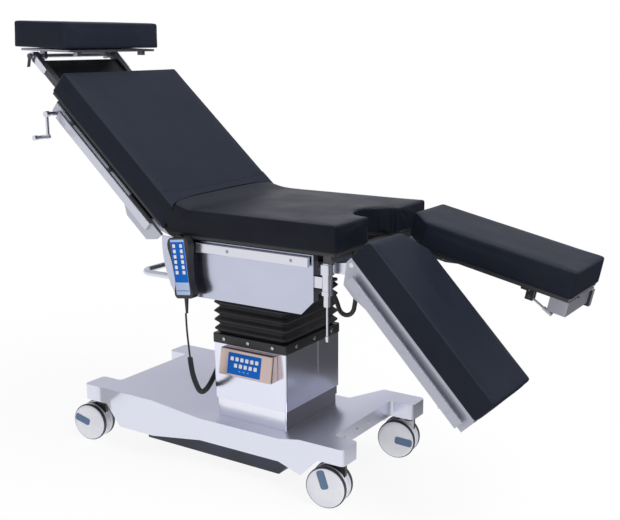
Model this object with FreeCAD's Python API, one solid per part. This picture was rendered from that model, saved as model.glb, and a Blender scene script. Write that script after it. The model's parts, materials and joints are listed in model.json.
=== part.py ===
# Electric operating table with a split leg section, a double head section and a hand pendant.
# Millimetres. +X points to the foot end, -Y is the side with the pendant, +Z is up.
# All sizes are measured from the column's axis and the floor. The finished pieces are then moved so that
# the origin is on the floor, under the middle of the whole table.
import FreeCAD, Part
import math
import os

V = FreeCAD.Vector
X_AXIS, Y_AXIS, Z_AXIS = V(1, 0, 0), V(0, 1, 0), V(0, 0, 1)
os.makedirs("parts", exist_ok=True)

# Shared small values
SHEET = 3.0               # wall of the formed steel covers
SEAT_GAP = 0.3            # what lies between a piece and its seat on another body
PIN_CLEARANCE = 0.05      # radial play of every hinge pin
SCREW_R = 5.0
SCREW_HEAD = 3.0
RAIL_H = 28.6
RAIL_T = 9.5
RAIL_OUT = 262.0          # outer face of the accessory rails, from the middle plane
SPACER_R = 9.0

# Casters
WHEEL_R = 62.5
WHEEL_W = 21.0
TWIN_GAP = 18.0
TYRE_DEPTH = 7.0
TRAIL = 35.0
CASTER_TURN = 9.0         # how far the parked casters are swung, degrees
CASTER_Y = 212.0
WHEEL_ARCH = WHEEL_R * 1.8
NECK_R = 19.0
STEM_R = 6.0

# Base
BASE_HEAD_X, BASE_FOOT_X = -608.0, 401.0
CASTER_HEAD_X, CASTER_FOOT_X = BASE_HEAD_X + 30.0, BASE_FOOT_X - 34.0
HEAD_HALF, WAIST_HALF, FOOT_HALF = 260.0, 207.0, 252.0
SLOPE_HEAD_X, WAIST_HEAD_X, WAIST_FOOT_X, SLOPE_FOOT_X = -311.0, -159.0, 144.0, 250.0
HEAD_TOP, WAIST_TOP, FOOT_TOP = 204.0, 157.0, 193.0
HEAD_EAR_LOW, FOOT_EAR_LOW, SKIRT_LOW = 152.0, 143.0, 84.0
HEAD_EAR, HEAD_NOTCH = 90.0, 79.0
FOOT_EAR, FOOT_NOTCH = 82.0, 82.0
EAR_ROUND = 14.0
DECK_LOW, DECK_T = 154.0, 10.0
DECK_HEAD_REACH, DECK_FOOT_REACH = 110.0, 100.0   # from the casters towards the column
BEAM_Y, BEAM_W, BEAM_LOW = 98.0, 40.0, 100.0
PAN_HALF, PAN_LOW = 198.0, 37.0
PAN_HEAD_X, PAN_FOOT_X, PAN_SLOPE = -388.0, 170.0, 32.0

# Column
SLEEVE_X, SLEEVE_Y, SLEEVE_WALL, STAGE_PLAY = 138.0, 153.0, 2.5, 1.0
SLEEVE_LOW, SLEEVE_TOP = 219.0, 400.0
MID_LOW, MID_TOP, MID_WALL = 190.0, 362.0, 2.0
SKIRT_TOP = 320.0
SLEEVE_ROUND = 9.0
COLLAR_H, COLLAR_RIM = 30.0, 20.0
RAM_R, STAGE_WALL, RAM_PLAY = 25.0, 9.5, 0.5
CYLINDER_TOP, CYLINDER_FLOOR = 325.0, 6.0
LIFT_DOWN = 60.0
PANEL_W, PANEL_H, PANEL_DEEP, PANEL_SHALLOW = 200.0, 82.0, 38.0, 22.0
PANEL_TOP, PANEL_X = 396.0, 8.0
BELLOWS_TOP, PLEATS, PLEAT_DEPTH, BELLOWS_WALL = 572.0, 5, 12.0, 3.0

# Tilt head and saddle
PIVOT_Z, PIVOT_R = 610.0, 14.5
MAST_X, MAST_Y, MAST_TOP = 50.0, 57.0, 535.0
EAR_T, EAR_X, EAR_TOP = 14.0, 35.0, 640.0
CARDAN_X, CARDAN_H = 34.0, 56.0
CAVITY_X, CAVITY_Y, SADDLE_WALL = 105.0, 120.0, 15.0
BED_LOW, BED_T, BED_X, BED_Y = 684.0, 16.0, 260.0, 150.0
GUIDE_Y, GUIDE_W, GUIDE_H = 110.0, 20.0, 12.0

# Seat section
SEAT_HALF = 268.0
SEAT_HEAD_X, SEAT_FOOT_X = -160.0, 382.0
PAD_T, BOARD_T = 78.0, 9.0
SEAT_TOP = 836.0
NOTCH_R = 88.0
FRAME_H, FRAME_LOW, TIE_W = 24.0, 724.0, 25.0
SIDE_OUT, SIDE_T, SIDE_TOP, SIDE_LOW = 247.0, 3.0, 743.0, 568.0
SIDE_HEAD_X, SIDE_HEAD_LOW_X, SIDE_FOOT_X, SIDE_CHAMFER = -251.0, -208.0, 299.0, 42.0
RAIL_TOP, RAIL_HEAD_X, RAIL_FOOT_X = 738.0, -109.0, 290.0
HANDLE_R, HANDLE_Y, HANDLE_X, HANDLE_BEND = 9.5, 200.0, -388.0, 40.0
HANDLE_Z = SIDE_LOW + 36.0

# Back section, in its own frame: u runs from the hinge to the head end, n is up from the plate
BACK_ANGLE = 41.85
BACK_X, BACK_Z = -217.0, 750.0
BACK_END = 622.0
BACK_BEVEL_U, BACK_BEVEL_N = 84.0, 45.0
BACK_START = 24.0
BOARD_START = 38.0
BACK_BEAM_IN, BACK_BEAM_OUT = 222.0, 242.0
BACK_BEAM_TOP, BACK_BEAM_LOW, BACK_BEAM_START = -19.0, -60.0, 84.0
GUSSET_LOW, GUSSET_IN, GUSSET_OUT = -81.0, 249.0, 252.0
BACK_RAIL_U0, BACK_RAIL_U1 = 70.0, 560.0
LUG_Y, LUG_R, LUG_T, BACK_PIN_R = 196.0, 19.0, 11.0, 10.0
DRIVE_L = 56.0

# Head section
ARM_Y, ARM_SIZE, ARM_N = 180.0, 22.0, -22.0
ARM_START, ARM_END = 440.0, 812.0
SOCKET_START, SOCKET_END, SOCKET_WALL = 430.0, 640.0, 4.0
CROSS_START, CROSS_END = 660.0, 785.0
SHAFT_R = 7.0
HEAD_TILT = 2.0
HEAD_PLATE_T = 7.0
HEAD_L, HEAD_HALF_W, HEAD_PAD_T = 236.0, 210.0, 72.0
HEAD_RISE = 18.0          # from the head shaft's axis to the plate
HEAD_BEHIND = 50.0        # how far the head pad reaches past its shaft
CRANK_U, CRANK_N, CRANK_R, CRANK_ARM, CRANK_OUT = 574.0, -48.0, 7.0, 71.0, 291.0
GRIP_L, GRIP_END = 55.0, 4.0
SCREW_N, LEAD_R = -40.0, 8.0
END_TIE_U = 592.0
SCREW_START = 584.0

# Leg sections, in their own frame: u runs from the hinge to the foot, n is up from the plate
LEG_X, LEG_Z = 420.0, 729.0
NEAR_DROOP, FAR_DROOP = 46.3, 12.1
LEG_START, LEG_END = -12.0, 523.0
LEG_INNER, LEG_CHAMFER = 20.0, 80.0
LEG_PAD_LOW, LEG_BOARD_T = 25.0, 10.0
LEG_BEAM_TOP, LEG_BEAM_LOW, LEG_BEAM_ROOT = 9.0, -41.0, -60.0
LEG_BEAM_IN, LEG_BEAM_OUT = 222.0, 242.0
POST_X, POST_Y, POST_R, POST_LOW, POST_TIP = 337.0, 235.0, 15.0, 639.0, 600.0
RING_R, RING_LOW, RING_H = 20.0, 692.0, 29.0
LOCK_BAR_L = 94.0
LEG_PIN_R, LEG_LUG_R = 7.0, 12.0
LEVER_U, LEVER_N, LEVER_Y = 366.0, -56.0, 180.0

# Pendant and cords
PENDANT_X, PENDANT_TOP, PENDANT_LEAN = -158.0, 752.0, -7.0
PENDANT_FRONT, PENDANT_T, PENDANT_L = -294.0, 27.0, 183.0
HOOK_W = 20.0
CORD_R, CURL_R, HOSE_R = 3.0, 8.5, 6.5
CORD_ROUTE = [(-137, -280.5, 522), (-136, -280.5, 478), (-131, -281, 432), (-126, -281, 386)]
CURL_ROUTE = [(-126, -281, 386), (-121.5, -281, 344.6), (-122, -264, 300), (-132, -232, 258),
              (-146, -188, 246), (-158, -144, 260), (-164, -104, 292), (-164, -78, 330), (-164, -78, 362)]
HOSE_ROUTE = [(299, -200, 640), (326, -200, 640), (346, -201, 612), (357, -202, 580), (379.6, -203, 571.8),
              (400.4, -202, 583.8), (405, -200, 609.4), (407.3, -199, 631)]
HOSE_BLOCK = 12.0         # half the size of the blocks that the hose ends in
OUTLET_LOW, OUTLET_H = 362.0, 26.0


def box(x0, x1, y0, y1, z0, z1):
    return Part.makeBox(abs(x1 - x0), abs(y1 - y0), abs(z1 - z0), V(min(x0, x1), min(y0, y1), min(z0, z1)))


def rod(start, end, radius):
    a, b = V(*start), V(*end)
    return Part.makeCylinder(radius, (b - a).Length, a, b - a)


def across(x, z, y0, y1, radius):
    """A round bar along Y."""
    return rod((x, min(y0, y1), z), (x, max(y0, y1), z), radius)


def slab_y(points, y0, y1):
    """A side outline, given as x, z points, with its thickness along Y."""
    wire = Part.makePolygon([V(x, min(y0, y1), z) for x, z in points + points[:1]])
    return Part.Face(wire).extrude(V(0, abs(y1 - y0), 0))


def slab_z(points, z0, z1):
    """A plan outline, given as x, y points, with its thickness along Z."""
    wire = Part.makePolygon([V(x, y, z0) for x, y in points + points[:1]])
    return Part.Face(wire).extrude(V(0, 0, z1 - z0))


def fuse(shapes):
    return shapes[0].multiFuse(shapes[1:]).removeSplitter()


def both(shape):
    """The shape and its mirror image over the middle plane."""
    return [shape, mirrored(shape)]


def mirrored(shape):
    return shape.mirror(V(0, 0, 0), Y_AXIS)


def turned(shape, x, z, angle):
    """A copy turned about an axis along Y."""
    copy = shape.copy()
    copy.rotate(V(x, 0, z), Y_AXIS, angle)
    return copy


def rounded(shape, radius, chosen):
    """Fillets the edges that the test picks."""
    edges = [edge for edge in shape.Edges if chosen(edge)]
    return shape.makeFillet(radius, edges)


def along(edge, axis):
    """True for a straight edge that runs along the axis."""
    if edge.Curve.TypeId != "Part::GeomLine":
        return False
    step = edge.Vertexes[-1].Point - edge.Vertexes[0].Point
    return step.Length > 0 and abs(step.normalize().dot(axis)) > 0.999


def at_height(edge, z):
    return all(abs(v.Point.z - z) < 0.01 for v in edge.Vertexes)


def round_rect(half_x, half_y, radius, z):
    """A closed wire: a rectangle with round corners, level at z."""
    edges = []
    for quarter in range(4):
        sx = (1, -1, -1, 1)[quarter]
        sy = (1, 1, -1, -1)[quarter]
        cx, cy = sx * (half_x - radius), sy * (half_y - radius)
        start = math.radians(90 * quarter)
        arc = [V(cx + radius * math.cos(start + t), cy + radius * math.sin(start + t), z)
               for t in (0, math.pi / 4, math.pi / 2)]
        edges.append(Part.Arc(*arc).toShape())
    ordered = []
    for i, edge in enumerate(edges):
        after = edges[(i + 1) % 4]
        ordered += [edge, Part.makeLine(edge.Vertexes[-1].Point, after.Vertexes[0].Point)]
    return Part.Wire(ordered)


def tube_rect(half_x, half_y, wall, z0, z1, radius=SLEEVE_ROUND):
    """An upright sleeve with round corners, open at both ends."""
    outer = Part.Face(round_rect(half_x, half_y, radius, z0)).extrude(V(0, 0, z1 - z0))
    inner = Part.Face(round_rect(half_x - wall, half_y - wall, radius - wall, z0)).extrude(V(0, 0, z1 - z0))
    return outer.cut(inner)


def route_tube(route, radius, name):
    """A tube along straight runs with the largest arc that fits each corner."""
    points = [V(*p) for p in route]
    edges, here, radii = [], points[0], []
    for before, corner, after in zip(points, points[1:], points[2:]):
        back, ahead = before - corner, after - corner
        half = (math.pi - back.getAngle(ahead)) / 2
        reach = 0.45 * min(back.Length, ahead.Length)
        radii.append(reach / math.tan(half))
        back.normalize()
        ahead.normalize()
        start, end = corner + back * reach, corner + ahead * reach
        middle = (back + ahead).normalize()
        centre = corner + middle * (radii[-1] / math.cos(half))
        edges.append(Part.makeLine(here, start))
        edges.append(Part.Arc(start, centre - middle * radii[-1], end).toShape())
        here = end
    edges.append(Part.makeLine(here, points[-1]))
    path = Part.Wire(edges)
    section = Part.Wire(Part.makeCircle(radius, points[0], points[1] - points[0]))
    tube = path.makePipeShell([section], True, False)
    ideal = math.pi * radius ** 2 * path.Length
    print(name, "length %.0f, tightest radius %.0f, volume ratio %.4f" %
          (path.Length, min(radii), tube.Volume / ideal))
    return tube


def back_box(u0, u1, y0, y1, n0, n1):
    return box(BACK_X - u1, BACK_X - u0, y0, y1, BACK_Z + n0, BACK_Z + n1)


def back_slab(points, y0, y1):
    return slab_y([(BACK_X - u, BACK_Z + n) for u, n in points], y0, y1)


def back_across(u, n, y0, y1, radius):
    return across(BACK_X - u, BACK_Z + n, y0, y1, radius)


def back_along(u0, u1, y, n, radius):
    return rod((BACK_X - u0, y, BACK_Z + n), (BACK_X - u1, y, BACK_Z + n), radius)


def raised(shape):
    """Turns a piece of the level back section up to its place."""
    return turned(shape, BACK_X, BACK_Z, BACK_ANGLE)


def leg_box(u0, u1, y0, y1, n0, n1):
    return box(LEG_X + u0, LEG_X + u1, y0, y1, LEG_Z + n0, LEG_Z + n1)


def leg_slab(points, y0, y1):
    return slab_y([(LEG_X + u, LEG_Z + n) for u, n in points], y0, y1)


def rail_and_spacers(x0, x1, z_low, stations):
    """An accessory rail on the near side, level; each station is a screw's x and its seat's y."""
    z_mid = z_low + RAIL_H / 2
    bar = box(x0, x1, -RAIL_OUT, -(RAIL_OUT - RAIL_T), z_low, z_low + RAIL_H)
    bar = rounded(bar, 2.0, lambda e: along(e, X_AXIS))
    for x, y_seat in stations:
        bar = bar.fuse(across(x, z_mid, -(RAIL_OUT - RAIL_T), -y_seat, SPACER_R))
        bar = bar.cut(across(x, z_mid, -RAIL_OUT, -RAIL_OUT + SCREW_HEAD, SCREW_R + PIN_CLEARANCE))
        bar = bar.fuse(across(x, z_mid, -RAIL_OUT + 0.6, -RAIL_OUT + SCREW_HEAD, SCREW_R))
    return bar


def base_side(inset, low):
    """The base's side outline, lowered by inset at the top."""
    top = [(BASE_HEAD_X + inset, HEAD_TOP - inset), (SLOPE_HEAD_X, HEAD_TOP - inset),
           (WAIST_HEAD_X, WAIST_TOP - inset), (WAIST_FOOT_X, WAIST_TOP - inset),
           (SLOPE_FOOT_X, FOOT_TOP - inset), (BASE_FOOT_X - inset, FOOT_TOP - inset)]
    if low is not None:
        return top + [(BASE_FOOT_X - inset, low), (BASE_HEAD_X + inset, low)]
    arch = WHEEL_ARCH
    bottom = [(BASE_FOOT_X, FOOT_EAR_LOW), (CASTER_FOOT_X - arch * 0.5, FOOT_EAR_LOW),
              (CASTER_FOOT_X - arch, SKIRT_LOW), (CASTER_HEAD_X + arch * 1.1, SKIRT_LOW),
              (CASTER_HEAD_X + arch * 0.6, HEAD_EAR_LOW), (BASE_HEAD_X, HEAD_EAR_LOW)]
    return top + bottom


def base_plan(inset):
    """Half of the base's plan outline, on the side of +Y."""
    return [(BASE_HEAD_X + HEAD_NOTCH + inset, 0),
            (BASE_HEAD_X + HEAD_NOTCH + inset, HEAD_HALF - HEAD_EAR + inset),
            (BASE_HEAD_X + inset, HEAD_HALF - HEAD_EAR + inset), (BASE_HEAD_X + inset, HEAD_HALF - inset),
            (SLOPE_HEAD_X, HEAD_HALF - inset), (WAIST_HEAD_X, WAIST_HALF - inset),
            (WAIST_FOOT_X, WAIST_HALF - inset), (SLOPE_FOOT_X, FOOT_HALF - inset),
            (BASE_FOOT_X - inset, FOOT_HALF - inset), (BASE_FOOT_X - inset, FOOT_HALF - FOOT_EAR + inset),
            (BASE_FOOT_X - FOOT_NOTCH - inset, FOOT_HALF - FOOT_EAR + inset),
            (BASE_FOOT_X - FOOT_NOTCH - inset, 0)]


def base_block(inset, low, ear_round):
    half = base_plan(inset)
    plan = half + [(x, -y) for x, y in half[-2:0:-1]]
    block = slab_z(plan, 0, HEAD_TOP + SHEET)
    ends = (BASE_HEAD_X + inset, BASE_FOOT_X - inset, BASE_HEAD_X + HEAD_NOTCH + inset,
            BASE_FOOT_X - FOOT_NOTCH - inset)
    block = rounded(block, ear_round, lambda e: along(e, Z_AXIS)
                    and min(abs(e.Vertexes[0].Point.x - x) for x in ends) < 0.01
                    and abs(e.Vertexes[0].Point.y) > 1)
    reach = max(HEAD_HALF, FOOT_HALF) + 1
    return block.common(slab_y(base_side(inset, low), -reach, reach))


def base_shell():
    outer = base_block(0.0, None, EAR_ROUND)
    inner = base_block(SHEET, 0.0, EAR_ROUND - SHEET)
    shell = outer.cut(inner)
    shell = shell.cut(box(-RAM_R * 3, RAM_R * 3, -RAM_R * 3, RAM_R * 3, SKIRT_LOW, HEAD_TOP))
    for side in (-1, 1):
        y, z = side * (HEAD_HALF - HEAD_EAR * 0.72), (HEAD_TOP + HEAD_EAR_LOW) / 2
        hole = rod((BASE_HEAD_X - 1, y, z), (BASE_HEAD_X + SHEET + 1, y, z), 6.0)
        shell = shell.cut(hole)
    return cut_across(shell, [CASTER_HEAD_X + WHEEL_ARCH * 0.6, CASTER_FOOT_X - WHEEL_ARCH * 0.5])


def cut_across(shape, stations):
    """The pieces of a long part, parted where its covers or decks meet."""
    ends = [shape.BoundBox.XMin - 1] + stations + [shape.BoundBox.XMax + 1]
    reach, top = shape.BoundBox.YMax + 1, shape.BoundBox.ZMax + 1
    parts = []
    for x0, x1 in zip(ends, ends[1:]):
        parts += shape.common(box(x0, x1, -reach, reach, 0, top)).Solids
    return parts


def base_chassis():
    """Cast beams, cross decks and ear decks under the cover; the casters and the column stand on it."""
    gap = SHEET + 1.0
    head = box(BASE_HEAD_X + gap, CASTER_HEAD_X + DECK_HEAD_REACH, -HEAD_HALF + gap, HEAD_HALF - gap,
               DECK_LOW, DECK_LOW + DECK_T)
    foot = box(CASTER_FOOT_X - DECK_FOOT_REACH, BASE_FOOT_X - gap, -FOOT_HALF + gap, FOOT_HALF - gap,
               DECK_LOW, DECK_LOW + DECK_T)
    head = head.cut(box(BASE_HEAD_X, BASE_HEAD_X + HEAD_NOTCH + gap, -HEAD_HALF + HEAD_EAR - gap,
                        HEAD_HALF - HEAD_EAR + gap, DECK_LOW, DECK_LOW + DECK_T))
    foot = foot.cut(box(BASE_FOOT_X - FOOT_NOTCH - gap, BASE_FOOT_X, -FOOT_HALF + FOOT_EAR - gap,
                        FOOT_HALF - FOOT_EAR + gap, DECK_LOW, DECK_LOW + DECK_T))
    head = rounded(head, EAR_ROUND - gap, lambda e: along(e, Z_AXIS)
                   and abs(e.Vertexes[0].Point.x - BASE_HEAD_X - gap) < 0.01)
    foot = rounded(foot, EAR_ROUND - gap, lambda e: along(e, Z_AXIS)
                   and abs(e.Vertexes[0].Point.x - BASE_FOOT_X + gap) < 0.01)
    top = WAIST_TOP - SHEET
    beam_x0, beam_x1 = BASE_HEAD_X + HEAD_NOTCH + gap, BASE_FOOT_X - FOOT_NOTCH - gap
    beam = box(beam_x0, beam_x1, BEAM_Y - BEAM_W / 2, BEAM_Y + BEAM_W / 2, BEAM_LOW, top)
    ties = [box(x - 25, x + 25, -BEAM_Y, BEAM_Y, BEAM_LOW, top) for x in (beam_x0 + 25, beam_x1 - 25)]
    foot_plate = box(-90, 90, -BEAM_Y, BEAM_Y, BEAM_LOW, BEAM_LOW + 24)
    ladder = fuse(both(beam) + ties + [foot_plate])
    foot_relief = box(PAN_FOOT_X + 6, beam_x1, -HEAD_HALF, HEAD_HALF, BEAM_LOW, FOOT_EAR_LOW + gap)
    ladder = ladder.cut(foot_relief)
    decks = []
    for x, seam, deck in ((CASTER_HEAD_X, beam_x0, head), (CASTER_FOOT_X, beam_x1, foot)):
        for y in (-CASTER_Y, CASTER_Y):
            boss = rod((x, y, DECK_LOW), (x, y, DECK_LOW + DECK_T + 14), NECK_R)
            bore = rod((x, y, DECK_LOW - 1), (x, y, DECK_LOW + DECK_T + 15), STEM_R + PIN_CLEARANCE)
            deck = deck.fuse(boss).cut(bore)
        decks += cut_across(deck, [seam])
    return [ladder.cut(rod((0, 0, BEAM_LOW), (0, 0, BEAM_LOW + 24), cylinder_outer()))] + decks


def base_pan():
    side = [(PAN_HEAD_X, BEAM_LOW), (PAN_HEAD_X, PAN_LOW + 3), (PAN_FOOT_X - PAN_SLOPE, PAN_LOW),
            (PAN_FOOT_X, PAN_LOW + PAN_SLOPE), (PAN_FOOT_X, BEAM_LOW)]
    pan = slab_y(side, -PAN_HALF, PAN_HALF)
    return rounded(pan, 4.0, lambda e: along(e, X_AXIS) and not at_height(e, BEAM_LOW))


def base_screws():
    """Button-head screws in the wall of the foot notch."""
    x, z = BASE_FOOT_X - FOOT_NOTCH, FOOT_EAR_LOW + 23
    return [rod((x, y, z), (x + SCREW_HEAD, y, z), SCREW_R) for y in (-110, -36, 36, 110)]


def caster(x, y):
    """The swivel fork and the twin wheels of one caster."""
    ax = x - TRAIL
    half = TWIN_GAP / 2
    web_t = TWIN_GAP - 4.0
    web = slab_y([(ax - 16, WHEEL_R - 20), (ax + 20, WHEEL_R - 22), (x + NECK_R - 2, 96),
                  (x + NECK_R - 2, 132), (x - NECK_R, 132), (ax - 26, 108)], y - web_t / 2, y + web_t / 2)
    web = rounded(web, 5.0, lambda e: along(e, Y_AXIS))
    hood = across(ax, WHEEL_R, y - web_t / 2, y + web_t / 2, WHEEL_R - 4)
    hood = hood.common(box(ax - WHEEL_R, ax + WHEEL_R, y - half, y + half, WHEEL_R - 6, WHEEL_R * 2))
    neck_top = DECK_LOW - SEAT_GAP
    neck = Part.makeCone(NECK_R - 3, NECK_R, 8, V(x, y, WHEEL_R * 2 + 2))
    neck = neck.fuse(rod((x, y, WHEEL_R * 2 + 10), (x, y, neck_top), NECK_R))
    stem = rod((x, y, neck_top), (x, y, DECK_LOW + DECK_T + 12), STEM_R)
    link = box(x - 14, x + 14, y - web_t / 2, y + web_t / 2, WHEEL_R + 30, WHEEL_R * 2 + 3)
    fork = fuse([web, hood, link, neck, stem])
    fork = fork.cut(across(ax, WHEEL_R, y - half, y + half, 6.0 + PIN_CLEARANCE))
    wheels = [across(ax, WHEEL_R, y - half - 2, y + half + 2, 6.0)]
    for side in (-1, 1):
        y0, y1 = y + side * half, y + side * (half + WHEEL_W)
        tyre = across(ax, WHEEL_R, y0, y1, WHEEL_R)
        tyre = rounded(tyre, 4.0, lambda e: e.Curve.TypeId == "Part::GeomCircle")
        hub = across(ax, WHEEL_R, y0, y1, WHEEL_R - TYRE_DEPTH)
        tyre = tyre.cut(hub)
        cap = across(ax, WHEEL_R, y0, y1, WHEEL_R - TYRE_DEPTH)
        crown = across(ax, WHEEL_R, y1, y1 + side * 2.5, WHEEL_R - TYRE_DEPTH - 2)
        crown = rounded(crown, 2.0, lambda e: abs(e.Vertexes[0].Point.y - y1 - side * 2.5) < 0.01)
        cap = cap.fuse(crown).cut(across(ax, WHEEL_R, y - half - 2, y + half + 2, 6.0))
        wheels += [tyre, cap]
    pieces = [fork, Part.makeCompound(wheels)]
    for piece in pieces:
        piece.rotate(V(x, y, 0), Z_AXIS, CASTER_TURN)
    return pieces


def cylinder_outer():
    return RAM_R + 2 * (RAM_PLAY + STAGE_WALL) - 0.5 * STAGE_WALL


def column_skirt():
    inner = MID_WALL + STAGE_PLAY
    return tube_rect(mid_x() - inner, mid_y() - inner, MID_WALL, WAIST_TOP, SKIRT_TOP)


def mid_x():
    return SLEEVE_X - SLEEVE_WALL - STAGE_PLAY


def mid_y():
    return SLEEVE_Y - SLEEVE_WALL - STAGE_PLAY


def mid_sleeve():
    return tube_rect(mid_x(), mid_y(), MID_WALL, MID_LOW, MID_TOP)


def lift_cylinder():
    outer = rod((0, 0, BEAM_LOW), (0, 0, CYLINDER_TOP), cylinder_outer())
    stage_r = RAM_R + RAM_PLAY + STAGE_WALL
    return outer.cut(rod((0, 0, BEAM_LOW + CYLINDER_FLOOR), (0, 0, CYLINDER_TOP), stage_r + RAM_PLAY))


def lift_stage():
    """The middle stage of the ram, with the cross that carries the middle sleeve."""
    outer = rod((0, 0, 150), (0, 0, MID_TOP), RAM_R + RAM_PLAY + STAGE_WALL)
    x, y = mid_x() - MID_WALL - SEAT_GAP, mid_y() - MID_WALL - SEAT_GAP
    cross = [box(-x, x, -26, 26, MID_TOP - 6, MID_TOP), box(-26, 26, -y, y, MID_TOP - 6, MID_TOP)]
    return fuse([outer] + cross).cut(rod((0, 0, 150), (0, 0, MID_TOP), RAM_R + RAM_PLAY))


def column_sleeve():
    sleeve = tube_rect(SLEEVE_X, SLEEVE_Y, SLEEVE_WALL, SLEEVE_LOW, SLEEVE_TOP)
    lid = Part.Face(round_rect(SLEEVE_X, SLEEVE_Y, SLEEVE_ROUND, SLEEVE_TOP - 4)).extrude(V(0, 0, 4))
    sleeve = sleeve.fuse(lid).cut(rod((0, 0, SLEEVE_TOP - 5), (0, 0, SLEEVE_TOP), RAM_R))
    seam_x = SLEEVE_X * 0.18
    groove = box(SLEEVE_X - 0.8, SLEEVE_X, seam_x - 0.6, seam_x + 0.6, SLEEVE_LOW, SLEEVE_TOP)
    return sleeve.cut(groove).removeSplitter()


def lift_mast():
    """The ram and the forged head that carries the tilting pivot."""
    ram_low = BEAM_LOW + CYLINDER_FLOOR + LIFT_DOWN + 4
    ram = rod((0, 0, ram_low), (0, 0, SLEEVE_TOP), RAM_R)
    head = box(-MAST_X, MAST_X, -MAST_Y, MAST_Y, SLEEVE_TOP, MAST_TOP)
    head = rounded(head, 10.0, lambda e: along(e, Z_AXIS))
    ear = box(-EAR_X, EAR_X, MAST_Y - EAR_T, MAST_Y, MAST_TOP, PIVOT_Z)
    ear = ear.fuse(across(0, PIVOT_Z, MAST_Y - EAR_T, MAST_Y, EAR_TOP - PIVOT_Z))
    bore = across(0, PIVOT_Z, -MAST_Y, MAST_Y, PIVOT_R + PIN_CLEARANCE)
    return fuse([ram, head] + both(ear)).cut(bore)


def bellows_collar():
    top = SLEEVE_TOP + COLLAR_H
    outer = Part.Face(round_rect(SLEEVE_X + 2, SLEEVE_Y + 2, SLEEVE_ROUND, SLEEVE_TOP))
    outer = outer.extrude(V(0, 0, COLLAR_H))
    outer = rounded(outer, 3.0, lambda e: at_height(e, top))
    hole = box(-SLEEVE_X + COLLAR_RIM, SLEEVE_X - COLLAR_RIM, -SLEEVE_Y + COLLAR_RIM,
               SLEEVE_Y - COLLAR_RIM, SLEEVE_TOP, top)
    return outer.cut(hole)


def collar_screws():
    z = SLEEVE_TOP + COLLAR_H * 0.55
    screws = []
    for side in (-1, 1):
        y = side * (SLEEVE_Y + 2)
        screws += [rod((x, y, z), (x, y + side * SCREW_HEAD, z), SCREW_R) for x in (-92, 0, 92)]
        x = side * (SLEEVE_X + 2)
        screws += [rod((x, yy, z), (x + side * SCREW_HEAD, yy, z), SCREW_R) for yy in (-100, 0, 100)]
    return screws


def bellows():
    """A pleated rubber sleeve: round rectangles, wide and narrow in turn, joined by flat flanks."""
    low = SLEEVE_TOP + COLLAR_H
    pitch = (BELLOWS_TOP - low) / PLEATS
    outer, inner = [], []
    for i in range(2 * PLEATS + 1):
        z = low + i * pitch / 2
        narrow = PLEAT_DEPTH if i % 2 == 0 else 0.0
        outer.append(round_rect(SLEEVE_X - narrow, SLEEVE_Y - narrow, 16.0, z))
        thin = BELLOWS_WALL + narrow
        inner.append(round_rect(SLEEVE_X - thin, SLEEVE_Y - thin, 13.0, z))
    return Part.makeLoft(outer, True, True).cut(Part.makeLoft(inner, True, True))


def panel_box():
    """A wedge-shaped housing on the sleeve's near face, deeper at its top."""
    y = -SLEEVE_Y
    low = PANEL_TOP - PANEL_H
    profile = [V(PANEL_X - PANEL_W / 2, y, low), V(PANEL_X - PANEL_W / 2, y, PANEL_TOP),
               V(PANEL_X - PANEL_W / 2, y - PANEL_SHALLOW, PANEL_TOP),
               V(PANEL_X - PANEL_W / 2, y - PANEL_DEEP, low)]
    body = Part.Face(Part.makePolygon(profile + profile[:1])).extrude(V(PANEL_W, 0, 0))
    return rounded(body, 5.0, lambda e: min(v.Point.y for v in e.Vertexes) < y - 1
                   and max(v.Point.y for v in e.Vertexes) < y - 1)


def on_panel(shape):
    """Lays a piece built upright at the panel's lower front edge onto its sloping face."""
    lean = math.degrees(math.atan2(PANEL_DEEP - PANEL_SHALLOW, PANEL_H))
    copy = shape.copy()
    copy.rotate(V(0, -SLEEVE_Y - PANEL_DEEP, PANEL_TOP - PANEL_H), X_AXIS, -lean)
    return copy


def panel_keypad():
    y, low = -SLEEVE_Y - PANEL_DEEP, PANEL_TOP - PANEL_H
    sheet = box(PANEL_X - 66, PANEL_X + 58, y - 1.0, y, low + 8, low + 74)
    pieces = [on_panel(rounded(sheet, 3.0, lambda e: along(e, Y_AXIS)))]
    for count, z, first in ((6, low + 56, -52), (5, low + 36, -38)):
        for i in range(count):
            x = PANEL_X + first + i * 19.5
            key = box(x, x + 12, y - 1.6, y - 1.0, z - 6, z + 6)
            pieces.append(on_panel(rounded(key, 2.0, lambda e: along(e, Y_AXIS))))
    return pieces


def cord_outlet():
    """A small housing on the head-end face of the sleeve that the coiled cord enters from below."""
    x = -SLEEVE_X
    y = CURL_ROUTE[-1][1]
    body = box(CURL_ROUTE[-1][0] - 13, x, y - 15, y + 15, OUTLET_LOW, OUTLET_LOW + OUTLET_H)
    return rounded(body, 4.0, lambda e: max(v.Point.x for v in e.Vertexes) < x - 1)


def cardan_block():
    body = box(-CARDAN_X, CARDAN_X, -(MAST_Y - EAR_T - 1), MAST_Y - EAR_T - 1,
               PIVOT_Z - CARDAN_H / 2, PIVOT_Z + CARDAN_H / 2)
    body = rounded(body, 6.0, lambda e: along(e, Z_AXIS))
    cross = across(0, PIVOT_Z, -MAST_Y - 3, MAST_Y + 3, PIVOT_R)
    reach = CAVITY_X + SADDLE_WALL
    long_pin = rod((-reach, 0, PIVOT_Z), (reach, 0, PIVOT_Z), PIVOT_R)
    return fuse([body, cross, long_pin])


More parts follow.
